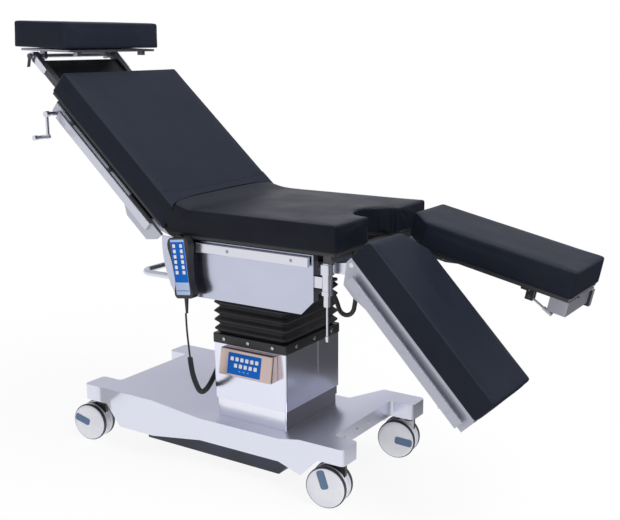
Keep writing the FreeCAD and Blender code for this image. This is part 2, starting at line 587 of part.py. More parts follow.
def saddle_box():
    """The saddle on the pivot, with the bed and guides that the tabletop slides on."""
    reach = CAVITY_X + SADDLE_WALL
    body = box(-reach, reach, -CAVITY_Y - SADDLE_WALL, CAVITY_Y + SADDLE_WALL, BELLOWS_TOP + 6, BED_LOW)
    body = body.cut(box(-CAVITY_X, CAVITY_X, -CAVITY_Y, CAVITY_Y, BELLOWS_TOP, BED_LOW))
    flange = Part.Face(round_rect(SLEEVE_X, SLEEVE_Y, 16.0, BELLOWS_TOP)).extrude(V(0, 0, 6))
    flange = flange.cut(box(-CAVITY_X, CAVITY_X, -CAVITY_Y, CAVITY_Y, BELLOWS_TOP, BELLOWS_TOP + 6))
    bed = box(-BED_X, BED_X, -BED_Y, BED_Y, BED_LOW, BED_LOW + BED_T)
    top = BED_LOW + BED_T
    guide = box(-BED_X, BED_X, GUIDE_Y - GUIDE_W / 2, GUIDE_Y + GUIDE_W / 2, top, top + GUIDE_H)
    saddle = fuse([body, flange, bed] + both(guide))
    return saddle.cut(rod((-reach, 0, PIVOT_Z), (reach, 0, PIVOT_Z), PIVOT_R + PIN_CLEARANCE))


def carriage(x):
    """A slider that holds a guide with a little play."""
    top = BED_LOW + BED_T
    body = box(x - 32, x + 32, GUIDE_Y - 18, GUIDE_Y + 18, top + 2, FRAME_LOW)
    slot = box(x - 33, x + 33, GUIDE_Y - GUIDE_W / 2 - SEAT_GAP, GUIDE_Y + GUIDE_W / 2 + SEAT_GAP,
               top, top + GUIDE_H + SEAT_GAP)
    return body.cut(slot)


def seat_frame():
    """Tubes under the seat board, the sliders, and the lugs of the back hinge."""
    y_side = SIDE_OUT - SIDE_T
    z0, z1 = FRAME_LOW, FRAME_LOW + FRAME_H
    x_head = BACK_X + LUG_R + 1
    x_foot = SEAT_FOOT_X - 22
    long_tube = box(x_head, x_foot, GUIDE_Y - 20, GUIDE_Y + 20, z0, z1)
    edge_tube = box(PENDANT_X + HOOK_W, SIDE_FOOT_X, y_side - 20, y_side, z0, z1 - 6)
    ties = [box(x, x + TIE_W, -y_side, y_side, z0, z1) for x in (x_head, 40, x_foot - 30)]
    lug_out = LUG_Y + LUG_T
    lug = slab_y([(x_head + 8, z1), (x_head + 8, z0), (BACK_X, BACK_Z - LUG_R), (BACK_X, BACK_Z)],
                 LUG_Y, lug_out)
    lug = lug.fuse(across(BACK_X, BACK_Z, LUG_Y, lug_out, LUG_R))
    lug = lug.cut(across(BACK_X, BACK_Z, LUG_Y - 6, lug_out + 6, BACK_PIN_R + PIN_CLEARANCE))
    slider = carriage(-120).fuse(carriage(120))
    return fuse(both(long_tube) + both(edge_tube) + ties + both(lug) + both(slider))


def hinge_drives():
    """Gear motors that turn the back section, one inside each hinge lug."""
    body = across(BACK_X, BACK_Z, LUG_Y - DRIVE_L, LUG_Y, LUG_R - 1)
    body = rounded(body, 3.0, lambda e: abs(e.Vertexes[0].Point.y - LUG_Y + DRIVE_L) < 0.01)
    neck = box(BACK_X, BACK_X + 17, LUG_Y - DRIVE_L, LUG_Y - 10, FRAME_LOW + 8, FRAME_LOW + FRAME_H - 4)
    body = body.fuse(neck).removeSplitter()
    return both(body.cut(across(BACK_X, BACK_Z, LUG_Y - 16, LUG_Y, BACK_PIN_R + PIN_CLEARANCE)))


def side_plate():
    """The near steel apron, curved at its head end and cut off at its lower foot corner."""
    outline = [V(SIDE_HEAD_X, 0, SIDE_TOP), V(SIDE_FOOT_X, 0, SIDE_TOP),
               V(SIDE_FOOT_X, 0, SIDE_LOW + SIDE_CHAMFER),
               V(SIDE_FOOT_X - SIDE_CHAMFER, 0, SIDE_LOW), V(SIDE_HEAD_LOW_X, 0, SIDE_LOW)]
    edges = [Part.makeLine(a, b) for a, b in zip(outline, outline[1:])]
    mid = V((SIDE_HEAD_X + SIDE_HEAD_LOW_X) / 2 - 12, 0, (SIDE_TOP + SIDE_LOW) / 2 - 10)
    edges.append(Part.Arc(outline[-1], mid, outline[0]).toShape())
    plate = Part.Face(Part.Wire(edges)).extrude(V(0, SIDE_T, 0))
    plate.translate(V(0, -SIDE_OUT, 0))
    lip = box(SIDE_FOOT_X - SIDE_T, SIDE_FOOT_X, -SIDE_OUT + SIDE_T, -SIDE_OUT + 26,
              SIDE_LOW + SIDE_CHAMFER, FRAME_LOW)
    return plate.fuse(lip)


def hose_outlet():
    """The block behind the near apron that the hose comes out of."""
    x, y, z = HOSE_ROUTE[0]
    h = HOSE_BLOCK
    block = box(x - 2 * h, x, -SIDE_OUT + SIDE_T, y + h, z - h, z + h)
    return rounded(block, 4.0, lambda e: along(e, X_AXIS) and e.Vertexes[0].Point.y > y)


def seat_rail():
    stations = [(RAIL_HEAD_X + t * (RAIL_FOOT_X - RAIL_HEAD_X), SIDE_OUT) for t in (0.3, 0.86)]
    return rail_and_spacers(RAIL_HEAD_X, RAIL_FOOT_X, RAIL_TOP - RAIL_H, stations)


def seat_outline(inset, z):
    """The seat's plan outline with the rounded cut-out between the legs, as a closed wire."""
    x0, x1, y1 = SEAT_HEAD_X + inset, SEAT_FOOT_X - inset, SEAT_HALF - inset
    r = NOTCH_R + inset
    edges = [Part.makeLine(V(x1, -r, z), V(x1, -y1, z)), Part.makeLine(V(x1, -y1, z), V(x0, -y1, z)),
             Part.makeLine(V(x0, -y1, z), V(x0, y1, z)), Part.makeLine(V(x0, y1, z), V(x1, y1, z)),
             Part.makeLine(V(x1, y1, z), V(x1, r, z)),
             Part.Arc(V(x1, r, z), V(x1 - r, 0, z), V(x1, -r, z)).toShape()]
    return Part.Wire(edges)


def seat_board():
    low = SEAT_TOP - PAD_T - SEAT_GAP - BOARD_T
    return Part.Face(seat_outline(7.0, low)).extrude(V(0, 0, BOARD_T))


def seat_pad():
    pad = Part.Face(seat_outline(0.0, SEAT_TOP - PAD_T)).extrude(V(0, 0, PAD_T))
    pad = rounded(pad, 12.0, lambda e: along(e, Z_AXIS) and abs(e.Vertexes[0].Point.y) > NOTCH_R + 1)
    return rounded(pad, 9.0, lambda e: at_height(e, SEAT_TOP))


def push_handle():
    """A bent tube across the head end of the aprons."""
    r, x_out = HANDLE_BEND, HANDLE_X
    start = V(-214, -HANDLE_Y, HANDLE_Z)
    a, b = V(x_out + r, -HANDLE_Y, HANDLE_Z), V(x_out, -HANDLE_Y + r, HANDLE_Z)
    mid = V(x_out + r * (1 - math.sqrt(0.5)), -HANDLE_Y + r * (1 - math.sqrt(0.5)), HANDLE_Z)
    flip = lambda p: V(p.x, -p.y, p.z)
    path = Part.Wire([Part.makeLine(start, a), Part.Arc(a, mid, b).toShape(), Part.makeLine(b, flip(b)),
                      Part.Arc(flip(b), flip(mid), flip(a)).toShape(), Part.makeLine(flip(a), flip(start))])
    tube = path.makePipeShell([Part.Wire(Part.makeCircle(HANDLE_R, start, V(-1, 0, 0)))], True, False)
    foot = box(-226, -200, -SIDE_OUT + SIDE_T, -HANDLE_Y + 14, HANDLE_Z - 16, HANDLE_Z + 16)
    return fuse([tube] + both(foot))


def leg_posts():
    """The upright pivots of the two leg sections, with their brackets and locking handles."""
    x, y = POST_X, -POST_Y
    post = rod((x, y, POST_LOW), (x, y, FRAME_LOW), POST_R)
    tip = rod((x, y, POST_TIP), (x, y, POST_LOW), POST_R - 4)
    collar = rod((x, y, POST_LOW - 6), (x, y, POST_LOW + 6), POST_R + 2)
    bracket = box(SIDE_FOOT_X, x - 8, y - 8, y + 8, POST_LOW + 12, POST_LOW + 44)
    handle = rod((x, y, POST_TIP - LOCK_BAR_L), (x, y, POST_TIP), 3.5)
    knob = Part.makeCone(5.0, 6.5, 16, V(x, y, POST_TIP - LOCK_BAR_L - 8))
    return both(fuse([post, tip, collar, bracket, handle, knob]))


def back_frame():
    """Side beams with end gussets, cross tubes, the arm sockets and the hinge lugs with their pins."""
    gusset = [(18, BACK_BEAM_TOP), (188, BACK_BEAM_TOP), (188, BACK_BEAM_LOW), (157, GUSSET_LOW),
              (53, GUSSET_LOW), (24, -48)]
    plate = back_slab(gusset, -GUSSET_OUT, -GUSSET_IN)
    filler = back_box(BACK_BEAM_START, 188, -GUSSET_IN, -BACK_BEAM_OUT, BACK_BEAM_LOW, BACK_BEAM_TOP)
    beam = back_box(BACK_BEAM_START, 600, -BACK_BEAM_OUT, -BACK_BEAM_IN, BACK_BEAM_LOW, BACK_BEAM_TOP)
    ledge = back_box(BOARD_START, 600, -BACK_BEAM_IN - 12, -208, BACK_BEAM_TOP, back_board_low())
    lug = back_slab([(0, LUG_R * 0.6), (0, -LUG_R), (BACK_BEAM_START, BACK_BEAM_LOW),
                     (BACK_BEAM_START + 12, BACK_BEAM_LOW), (BACK_BEAM_START + 12, BACK_BEAM_TOP),
                     (30, -8)],
                    -220, -208)
    lug = lug.fuse(back_across(0, 0, -220, -208, LUG_R))
    link = back_box(BACK_BEAM_START, BACK_BEAM_START + 12, -BACK_BEAM_IN, -208,
                    BACK_BEAM_LOW, BACK_BEAM_TOP)
    pin = back_across(0, 0, -210, -182, BACK_PIN_R)
    side = fuse([beam, plate, filler, ledge, lug, link, pin])
    half = ARM_SIZE / 2 + SEAT_GAP
    out = half + SOCKET_WALL
    socket = back_box(SOCKET_START, SOCKET_END, -ARM_Y - out, -ARM_Y + out, ARM_N - out, ARM_N + out)
    socket = socket.cut(back_box(SOCKET_START - 1, SOCKET_END + 1, -ARM_Y - half, -ARM_Y + half,
                                 ARM_N - half, ARM_N + half))
    low = ARM_N - out
    ties = [back_box(u, u + 20, -BACK_BEAM_IN, BACK_BEAM_IN, low - 20, low)
            for u in (BACK_BEAM_START, 436, END_TIE_U)]
    frame = fuse(both(side) + both(socket) + ties)
    frame = frame.cut(back_along(END_TIE_U - 5, END_TIE_U + 25, 0, SCREW_N, LEAD_R + SEAT_GAP))
    bore = back_across(CRANK_U, CRANK_N, -BACK_BEAM_OUT - 1, -BACK_BEAM_IN + 1, CRANK_R + PIN_CLEARANCE)
    return frame.cut(bore)


def back_board_low():
    return SEAT_TOP - PAD_T - SEAT_GAP - BOARD_T - BACK_Z


def back_rail():
    x = lambda u: BACK_X - u
    stations = [(x(110), GUSSET_OUT), (x(308), BACK_BEAM_OUT), (x(515), BACK_BEAM_OUT)]
    return rail_and_spacers(x(BACK_RAIL_U1), x(BACK_RAIL_U0), BACK_Z - 26 - RAIL_H, stations)


def back_board():
    low = back_board_low()
    return back_box(BOARD_START, BACK_END - 6, -SEAT_HALF + 7, SEAT_HALF - 7, low, low + BOARD_T)


def back_pad():
    """The long back cushion; its seat end is cut away so that it clears the seat when it is raised."""
    low, top = SEAT_TOP - PAD_T - BACK_Z, SEAT_TOP - BACK_Z
    outline = [(BACK_START, low), (BACK_START, BACK_BEVEL_N), (BACK_BEVEL_U, top), (BACK_END, top),
               (BACK_END, low)]
    pad = back_slab(outline, -SEAT_HALF, SEAT_HALF)
    pad = rounded(pad, 12.0, lambda e: along(e, Z_AXIS) and e.Vertexes[0].Point.x < BACK_X - BACK_END + 1)
    return rounded(pad, 9.0, lambda e: at_height(e, SEAT_TOP))


def crank_gearbox():
    """The angle drive between the crank's shaft and the lead screw."""
    body = back_box(550, END_TIE_U, -26, 26, -72, SCREW_N + 18)
    body = rounded(body, 5.0, lambda e: along(e, Y_AXIS))
    foot = back_box(END_TIE_U - 8, END_TIE_U, -40, 40, -56, -40)
    body = body.fuse(foot).cut(back_across(CRANK_U, CRANK_N, -60, 0, CRANK_R + PIN_CLEARANCE))
    return body.cut(back_along(SCREW_START, END_TIE_U, 0, SCREW_N, LEAD_R + PIN_CLEARANCE)).removeSplitter()


def crank():
    """The cross shaft, the folded arm and the grip, with the arm hanging down."""
    centre = raised(back_across(CRANK_U, CRANK_N, 0, 1, 1)).CenterOfMass
    x, z = centre.x, centre.z
    y = -CRANK_OUT
    shaft = across(x, z, y, -2, CRANK_R)
    hub = across(x, z, y - 6, y + 6, CRANK_R + 3)
    arm = rod((x, y, z), (x, y, z - CRANK_ARM), 5.5)
    elbow = across(x, z - CRANK_ARM, y - 6, y + 6, 7.5)
    spindle = across(x, z - CRANK_ARM, y - GRIP_L, y, 6.5)
    grip = across(x, z - CRANK_ARM, y - GRIP_L - GRIP_END, y - GRIP_L + 10, 8.0)
    return fuse([shaft, hub, arm, elbow, spindle, grip])


def lead_screw():
    return back_along(SCREW_START + 1, 780, 0, SCREW_N, LEAD_R)


def head_arms():
    """Two bars that plug into the back, with the plate and the nut between them."""
    half = ARM_SIZE / 2
    bar = back_box(ARM_START, ARM_END, -ARM_Y - half, -ARM_Y + half, ARM_N - half, ARM_N + half)
    bar = bar.fuse(back_across(ARM_END, ARM_N, -ARM_Y - half, -ARM_Y + half, half + 3))
    plate = back_box(CROSS_START, CROSS_END, -ARM_Y + half, ARM_Y - half, ARM_N - 4, ARM_N + 4)
    nut = back_box(CROSS_START, CROSS_START + 30, -16, 16, SCREW_N - 15, ARM_N - 4)
    arms = fuse(both(bar) + [plate, nut])
    arms = arms.cut(back_along(CROSS_START - 1, CROSS_START + 31, 0, SCREW_N, LEAD_R + PIN_CLEARANCE))
    return arms.cut(back_across(ARM_END, ARM_N, -ARM_Y - half, ARM_Y + half, SHAFT_R))


def head_cheeks():
    """Steel plates on the outside of the arms, beside the head shaft."""
    y = -ARM_Y - ARM_SIZE / 2
    cheek = back_slab([(735, ARM_N + 11), (ARM_END + 6, ARM_N + 14), (ARM_END + 15, ARM_N + 4),
                       (ARM_END + 11, ARM_N - 12), (735, ARM_N - 11)], y - 4, y)
    return both(cheek.cut(back_across(ARM_END, ARM_N, y - 5, y + 1, SHAFT_R)))


def head_shaft():
    return back_across(ARM_END, ARM_N, -ARM_Y - ARM_SIZE / 2 - 8, ARM_Y + ARM_SIZE / 2 + 8, SHAFT_R)


def clamp_knob():
    """A star knob under an arm socket; its screw holds the arm."""
    u, y = SOCKET_END - 9, -ARM_Y
    top = ARM_N - ARM_SIZE / 2 - SEAT_GAP - SOCKET_WALL
    x = BACK_X - u
    stem = rod((x, y, BACK_Z + top - 12), (x, y, BACK_Z + top - SEAT_GAP), 4.0)
    knob = Part.makeCone(8.0, 6.0, 14, V(x, y, BACK_Z + top - 24))
    wing = box(x - 16, x + 4, y - 2.5, y + 2.5, BACK_Z + top - 22, BACK_Z + top - 14)
    return fuse([stem, knob, wing])


def head_axis():
    centre = raised(head_shaft()).CenterOfMass
    return centre.x, centre.z


def head_level(shape):
    x, z = head_axis()
    return turned(shape, x, z, HEAD_TILT)


def head_plate():
    x, z = head_axis()
    x0, x1 = x - HEAD_BEHIND, x - HEAD_BEHIND + HEAD_L
    low = z + HEAD_RISE
    plate = box(x0 + 4, x1 - 4, -HEAD_HALF_W + 5, HEAD_HALF_W - 5, low, low + HEAD_PLATE_T)
    plate = rounded(plate, 12.0, lambda e: along(e, Z_AXIS))
    lug = box(x - 11, x + 11, -150, -138, z, low).fuse(across(x, z, -150, -138, 13))
    lug = lug.cut(across(x, z, -151, -137, SHAFT_R + PIN_CLEARANCE))
    stop = rounded(box(x1 - 32, x1 - 12, -160, -140, low - 13, low), 3.0, lambda e: along(e, Z_AXIS))
    rib = box(x + 20, x1 - 40, -6, 6, low - 10, low)
    return head_level(fuse([plate, rib] + both(lug) + both(stop)))


def head_pad():
    x, z = head_axis()
    x0, low = x - HEAD_BEHIND, z + HEAD_RISE + HEAD_PLATE_T + SEAT_GAP
    pad = box(x0, x0 + HEAD_L, -HEAD_HALF_W, HEAD_HALF_W, low, low + HEAD_PAD_T)
    pad = rounded(pad, 12.0, lambda e: along(e, Z_AXIS))
    return head_level(rounded(pad, 8.0, lambda e: at_height(e, low + HEAD_PAD_T)))


def head_lever():
    """The handle on the near end of the head shaft that frees the head plate."""
    x, z = head_axis()
    y = -ARM_Y - ARM_SIZE / 2 - 8 - SEAT_GAP
    hub = across(x, z, y - 8, y, 9.0)
    blade = slab_y([(x - 5, z), (x + 5, z), (x - 4, z - 34), (x - 14, z - 36)], y - 7, y - 2)
    return hub.fuse(blade).removeSplitter()


def leg_bracket():
    """The near link from the upright post to the droop hinge, with the hinge pin."""
    x, y = POST_X, -POST_Y
    ring = rod((x, y, RING_LOW), (x, y, RING_LOW + RING_H), RING_R)
    arm = box(x - 6, LEG_X - 18, -216, -195, RING_LOW, RING_LOW + RING_H)
    rise = slab_y([(x + 20, RING_LOW + RING_H), (x + 20, RING_LOW), (LEG_X - 18, RING_LOW),
                   (LEG_X + 4, LEG_Z - LEG_LUG_R), (LEG_X, LEG_Z + LEG_LUG_R), (LEG_X - 15, LEG_Z)],
                  -216, -198)
    eye = across(LEG_X, LEG_Z, -216, -198, LEG_LUG_R)
    pin = across(LEG_X, LEG_Z, -LEG_BEAM_OUT - 3, -200, LEG_PIN_R)
    bracket = fuse([ring, arm, rise, eye, pin])
    return bracket.cut(rod((x, y, RING_LOW), (x, y, RING_LOW + RING_H), POST_R + PIN_CLEARANCE))


def leg_frame():
    """The near tray: an outer beam with its rail, cross pieces and the board under the pad, level."""
    beam = leg_slab([(-16, LEG_BEAM_TOP), (LEG_END, LEG_BEAM_TOP), (LEG_END, LEG_BEAM_LOW),
                     (140, LEG_BEAM_LOW - 4),
                     (70, LEG_BEAM_ROOT), (24, LEG_BEAM_ROOT), (-16, -8)], -LEG_BEAM_OUT, -LEG_BEAM_IN)
    inner = -LEG_INNER - 22
    root = leg_box(66, 100, -LEG_BEAM_IN, -LEG_INNER - 100, -22, LEG_BEAM_TOP)
    spine = leg_box(66, LEG_END - 60, -150, -110, -14, LEG_BEAM_TOP)
    end = leg_box(LEG_END - 62, LEG_END - 8, -LEG_BEAM_IN, inner, -32, LEG_BEAM_TOP)
    hollow = leg_box(LEG_END - 59, LEG_END - 11, -LEG_BEAM_IN + 3, inner - 3, -33, LEG_BEAM_TOP - 3)
    tray = leg_box(60, LEG_END - 4, -LEG_BEAM_OUT, -LEG_INNER - 96, LEG_BEAM_TOP,
                   LEG_PAD_LOW - SEAT_GAP - LEG_BOARD_T)
    frame = fuse([beam, root, spine, end.cut(hollow), tray])
    frame = frame.cut(across(LEG_X, LEG_Z, -LEG_BEAM_OUT, -LEG_BEAM_IN, LEG_PIN_R + PIN_CLEARANCE))
    x = lambda u: LEG_X + u
    stations = [(x(u), LEG_BEAM_OUT) for u in (80, 270, 460)]
    rail = rail_and_spacers(x(28), x(505), LEG_Z - 10 - RAIL_H, stations)
    board = leg_plan(7.0, LEG_PAD_LOW - SEAT_GAP - LEG_BOARD_T, LEG_PAD_LOW - SEAT_GAP)
    fork = leg_box(LEVER_U - 12, LEVER_U + 12, -LEVER_Y - 12, -LEVER_Y + 12, LEVER_N - 8, -13)
    fork = fork.cut(leg_box(LEVER_U - 13, LEVER_U + 13, -LEVER_Y - 5, -LEVER_Y + 5, LEVER_N - 9, -20))
    fork = fork.cut(across(LEG_X + LEVER_U, LEG_Z + LEVER_N, -LEVER_Y - 12, -LEVER_Y + 12,
                           4 + PIN_CLEARANCE))
    hanger = leg_box(LEVER_U - 12, LEVER_U + 12, -LEVER_Y - 12, -110, -20, -8)
    frame = fuse([frame, fork, hanger])
    return [frame, rail, board]


def hose_socket():
    """The block inside the near leg's beam that the hose ends in, with its gland, in place."""
    end, before = V(*HOSE_ROUTE[-1]), V(*HOSE_ROUTE[-2])
    gland = Part.makeCylinder(HOSE_R + 2.5, 2 * HOSE_BLOCK, end, end - before)
    block = leg_box(38, 70, -LEG_BEAM_IN, end.y + HOSE_BLOCK, -70, -38)
    return dropped([block], NEAR_DROOP)[0].fuse(gland)


def leg_plan(inset, n0, n1):
    """The leg's plan outline, with its inner corner at the hinge cut off, as a level slab."""
    u0, u1 = LEG_START + inset, LEG_END - inset
    outer, inner = -SEAT_HALF + inset, -LEG_INNER - inset
    cut = LEG_CHAMFER + inset * 0.4
    plan = [(u0, outer), (u1, outer), (u1, inner), (u0 + cut, inner), (u0, inner - cut)]
    return slab_z([(LEG_X + u, y) for u, y in plan], LEG_Z + n0, LEG_Z + n1)


def leg_pad():
    top = LEG_PAD_LOW + PAD_T
    pad = leg_plan(0.0, LEG_PAD_LOW, top)
    pad = rounded(pad, 12.0, lambda e: along(e, Z_AXIS)
                  and abs(e.Vertexes[0].Point.x - LEG_X - LEG_END) < 0.1)
    hinge_x = LEG_X + LEG_START
    pad = rounded(pad, 25.0, lambda e: along(e, Y_AXIS) and at_height(e, LEG_Z + top)
                  and abs(e.Vertexes[0].Point.x - hinge_x) < 0.1)
    return pad


def leg_lever():
    """The release handle under the leg tray."""
    x, z, y = LEG_X + LEVER_U, LEG_Z + LEVER_N, -LEVER_Y
    pin = across(x, z, y - 12, y + 12, 4.0)
    hub = across(x, z, y - 4.5, y + 4.5, 8.0)
    bar = rod((x, y, z), (x + 62, y, z - 26), 3.5)
    grip = rod((x + 46, y, z - 19.3), (x + 74, y, z - 31), 6.0)
    return fuse([pin, hub, bar, grip])


def dropped(shapes, angle):
    """Copies of level leg pieces, lowered about the droop hinge."""
    return [turned(shape, LEG_X, LEG_Z, angle) for shape in shapes]


def pendant_outline():
    """Half widths down the hand control, from its top."""
    return [(0, 24), (6, 29), (60, 28), (112, 23.5), (146, 25), (176, 28), (PENDANT_L, 22)]


def leaned(shape):
    return turned(shape, PENDANT_X, PENDANT_TOP, PENDANT_LEAN)


def pendant_body():
    """The waisted hand control with its hanging hook and the strain relief of its cord."""
    right = [V(PENDANT_X + w, PENDANT_FRONT, PENDANT_TOP - d) for d, w in pendant_outline()]
    left = [V(2 * PENDANT_X - p.x, p.y, p.z) for p in right[::-1]]
    sides = [Part.BSplineCurve(), Part.BSplineCurve()]
    sides[0].interpolate(right)
    sides[1].interpolate(left)
    edges = [sides[0].toShape(), Part.makeLine(right[-1], left[0]), sides[1].toShape(),
             Part.makeLine(left[-1], right[0])]
    body = Part.Face(Part.Wire(edges)).extrude(V(0, PENDANT_T, 0))
    back = PENDANT_FRONT + PENDANT_T
    inner, top = -SIDE_OUT + SIDE_T + SEAT_GAP, SIDE_TOP + SEAT_GAP
    x0, x1 = PENDANT_X - HOOK_W / 2, PENDANT_X + HOOK_W / 2
    hook = box(x0, x1, back, -SIDE_OUT - SEAT_GAP, top - 24, top + 3)
    over = box(x0, x1, -SIDE_OUT - SEAT_GAP, inner + 1.5, top, top + 3)
    tongue = box(x0, x1, inner, inner + 1.5, top - 10, top)
    exit_point = V(*CORD_ROUTE[0])
    relief = Part.makeCone(3.4, 6.0, 48, exit_point, exit_point - V(*CORD_ROUTE[1]))
    return fuse([leaned(body), hook, over, tongue, relief])


def pendant_keypad():
    y = PENDANT_FRONT
    sheet = box(PENDANT_X - 20, PENDANT_X + 20, y - 0.8, y, PENDANT_TOP - 172, PENDANT_TOP - 8)
    pieces = [leaned(rounded(sheet, 3.0, lambda e: along(e, Y_AXIS)))]
    for row in range(6):
        for x in (PENDANT_X - 14, PENDANT_X + 5):
            z = PENDANT_TOP - 25 - row * 16
            key = box(x, x + 9, y - 1.4, y - 0.8, z - 4.5, z + 4.5)
            pieces.append(leaned(rounded(key, 2.0, lambda e: along(e, Y_AXIS))))
    return pieces


def frame_origin():
    """The middle of the whole table's footprint, from the column's axis."""
    back, droop, tilt = (math.radians(a) for a in (BACK_ANGLE, FAR_DROOP, HEAD_TILT))
    shaft_x = BACK_X - ARM_END * math.cos(back) + ARM_N * math.sin(back)
    head_x = shaft_x - HEAD_BEHIND * math.cos(tilt) + (HEAD_RISE + HEAD_PLATE_T + SEAT_GAP) * math.sin(tilt)
    foot_x = LEG_X + LEG_END * math.cos(droop) + (LEG_PAD_LOW + PAD_T) * math.sin(droop)
    near_y = -CRANK_OUT - GRIP_L - GRIP_END
    return V((head_x + foot_x) / 2, (near_y + SEAT_HALF) / 2, 0)


def save(name, shape):
    if isinstance(shape, list):
        shape = Part.makeCompound(shape)
    if not shape.isValid():
        print("invalid:", name)
    shape = shape.translated(-frame_origin())
    print(name, len(shape.Solids), "solids, %.0f cm3" % (shape.Volume / 1000))
    shape.exportStep("parts/%s.step" % name)


def save_base():
    save("base_shell", base_shell() + base_screws())
    save("base_chassis", base_chassis())
    save("base_pan", base_pan())
    places = {"head_near": (CASTER_HEAD_X, -CASTER_Y), "head_far": (CASTER_HEAD_X, CASTER_Y),
              "foot_near": (CASTER_FOOT_X, -CASTER_Y), "foot_far": (CASTER_FOOT_X, CASTER_Y)}
    for place, (x, y) in places.items():
        fork, wheels = caster(x, y)
        save("caster_fork_" + place, fork)
        save("caster_wheels_" + place, wheels)


def save_column():
    save("column_skirt", column_skirt())
    save("lift_cylinder", lift_cylinder())
    save("mid_sleeve", mid_sleeve())
    save("lift_stage", lift_stage())
    save("column_sleeve", column_sleeve())
    save("lift_mast", lift_mast())
    save("bellows_collar", [bellows_collar()] + collar_screws())
    save("bellows", bellows())
    save("panel_box", panel_box())
    save("panel_keypad", panel_keypad())
    save("cord_outlet", cord_outlet())
    save("cardan_block", cardan_block())
    save("saddle_box", saddle_box())


def save_seat():
    save("seat_frame", seat_frame())
    save("back_hinge_drives", hinge_drives())
    save("side_plate_near", side_plate().fuse(hose_outlet()))
    save("side_plate_far", mirrored(side_plate()))
    save("seat_rails", both(seat_rail()))
    save("seat_board", seat_board())
    save("seat_pad", seat_pad())
    save("push_handle", push_handle())
    save("leg_posts", leg_posts())


def save_back():
    save("back_frame", raised(back_frame()))
    save("back_rails", [raised(rail) for rail in both(back_rail())])
    save("back_board", raised(back_board()))
    save("back_pad", raised(back_pad()))
    save("crank_gearbox", raised(crank_gearbox()))
    save("crank", crank())
    save("lead_screw", raised(lead_screw()))
    save("head_arms", raised(head_arms()))
    save("head_shaft", [raised(piece) for piece in [head_shaft()] + head_cheeks()])
    save("clamp_knob_near", raised(clamp_knob()))
    save("clamp_knob_far", raised(mirrored(clamp_knob())))
    save("head_plate", head_plate())
    save("head_pad", head_pad())
    save("head_lever", head_lever())


def save_legs():
    for side, angle in (("near", NEAR_DROOP), ("far", FAR_DROOP)):
        place = (lambda s: s) if side == "near" else mirrored
        save("leg_bracket_" + side, place(leg_bracket()))
        pieces = dropped([place(piece) for piece in leg_frame()], angle)
        if side == "near":
            pieces[0] = pieces[0].fuse(hose_socket())
        save("leg_frame_" + side, pieces)
        save("leg_pad_" + side, dropped([place(leg_pad())], angle))
        save("leg_lever_" + side, dropped([place(leg_lever())], angle))


def save_pendant_and_cords():
    save("pendant_body", pendant_body())
    save("pendant_keypad", pendant_keypad())
    save("pendant_cord", route_tube(CORD_ROUTE, CORD_R, "pendant cord"))
    save("coiled_cord", route_tube(CURL_ROUTE, CURL_R, "coiled cord"))
    save("leg_hose", route_tube(HOSE_ROUTE, HOSE_R, "leg hose"))


save_base()
save_column()
save_seat()
save_back()
save_legs()
save_pendant_and_cords()
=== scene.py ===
# %% [markdown]
# This lesson dresses a jointed operating table. Its frame comes from a CAD model, so every part that
# is loaded here already has its real size and place. We add what CAD leaves plain: vinyl pads,
# brushed steel, a rubber bellows, cords, keys and wheels.

# %% The frame
import bpy
import json
import math
from mathutils import Matrix, Vector

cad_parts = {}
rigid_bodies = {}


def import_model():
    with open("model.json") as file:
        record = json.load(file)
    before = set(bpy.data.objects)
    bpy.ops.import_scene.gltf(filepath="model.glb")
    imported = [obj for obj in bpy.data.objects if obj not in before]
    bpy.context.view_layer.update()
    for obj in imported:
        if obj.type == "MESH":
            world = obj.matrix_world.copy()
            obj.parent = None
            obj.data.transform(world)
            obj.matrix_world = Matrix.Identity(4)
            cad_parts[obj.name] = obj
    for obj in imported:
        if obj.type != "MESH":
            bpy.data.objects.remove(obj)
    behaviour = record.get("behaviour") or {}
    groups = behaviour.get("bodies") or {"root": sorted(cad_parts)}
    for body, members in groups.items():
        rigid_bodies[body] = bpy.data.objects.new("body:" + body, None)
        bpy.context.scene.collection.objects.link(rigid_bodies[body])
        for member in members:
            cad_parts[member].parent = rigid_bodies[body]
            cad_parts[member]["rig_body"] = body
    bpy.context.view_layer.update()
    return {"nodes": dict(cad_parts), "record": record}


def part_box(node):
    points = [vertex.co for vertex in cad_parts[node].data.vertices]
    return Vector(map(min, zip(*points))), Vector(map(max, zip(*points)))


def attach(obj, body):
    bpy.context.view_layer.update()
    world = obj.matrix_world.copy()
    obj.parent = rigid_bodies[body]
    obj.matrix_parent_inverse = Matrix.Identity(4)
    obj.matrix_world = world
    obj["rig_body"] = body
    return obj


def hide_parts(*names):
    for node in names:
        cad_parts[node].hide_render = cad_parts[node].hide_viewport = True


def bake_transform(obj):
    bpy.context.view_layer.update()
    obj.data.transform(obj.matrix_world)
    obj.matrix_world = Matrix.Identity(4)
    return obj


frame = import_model()
nodes = frame["nodes"]

# %% [markdown]
# The drawing of the table measures everything in millimetres from the column's axis and the floor.
# One helper turns such a point into metres in the frame, so that each number below can be compared
# with the drawing.

# %% Points in the frame
MM = 0.001
AXIS_X, AXIS_Y = 33.676, -41.0


def at(x, y, z):
    return Vector(((x - AXIS_X) * MM, (y - AXIS_Y) * MM, z * MM))


print("column axis at", tuple(round(c, 4) for c in at(0, 0, 0)))

# %% [markdown]
# The camera stands where the photographer stood: a little above the seat, on the side of the hand
# control, looking towards the head end. Its place and lens were worked out from the table's edges.

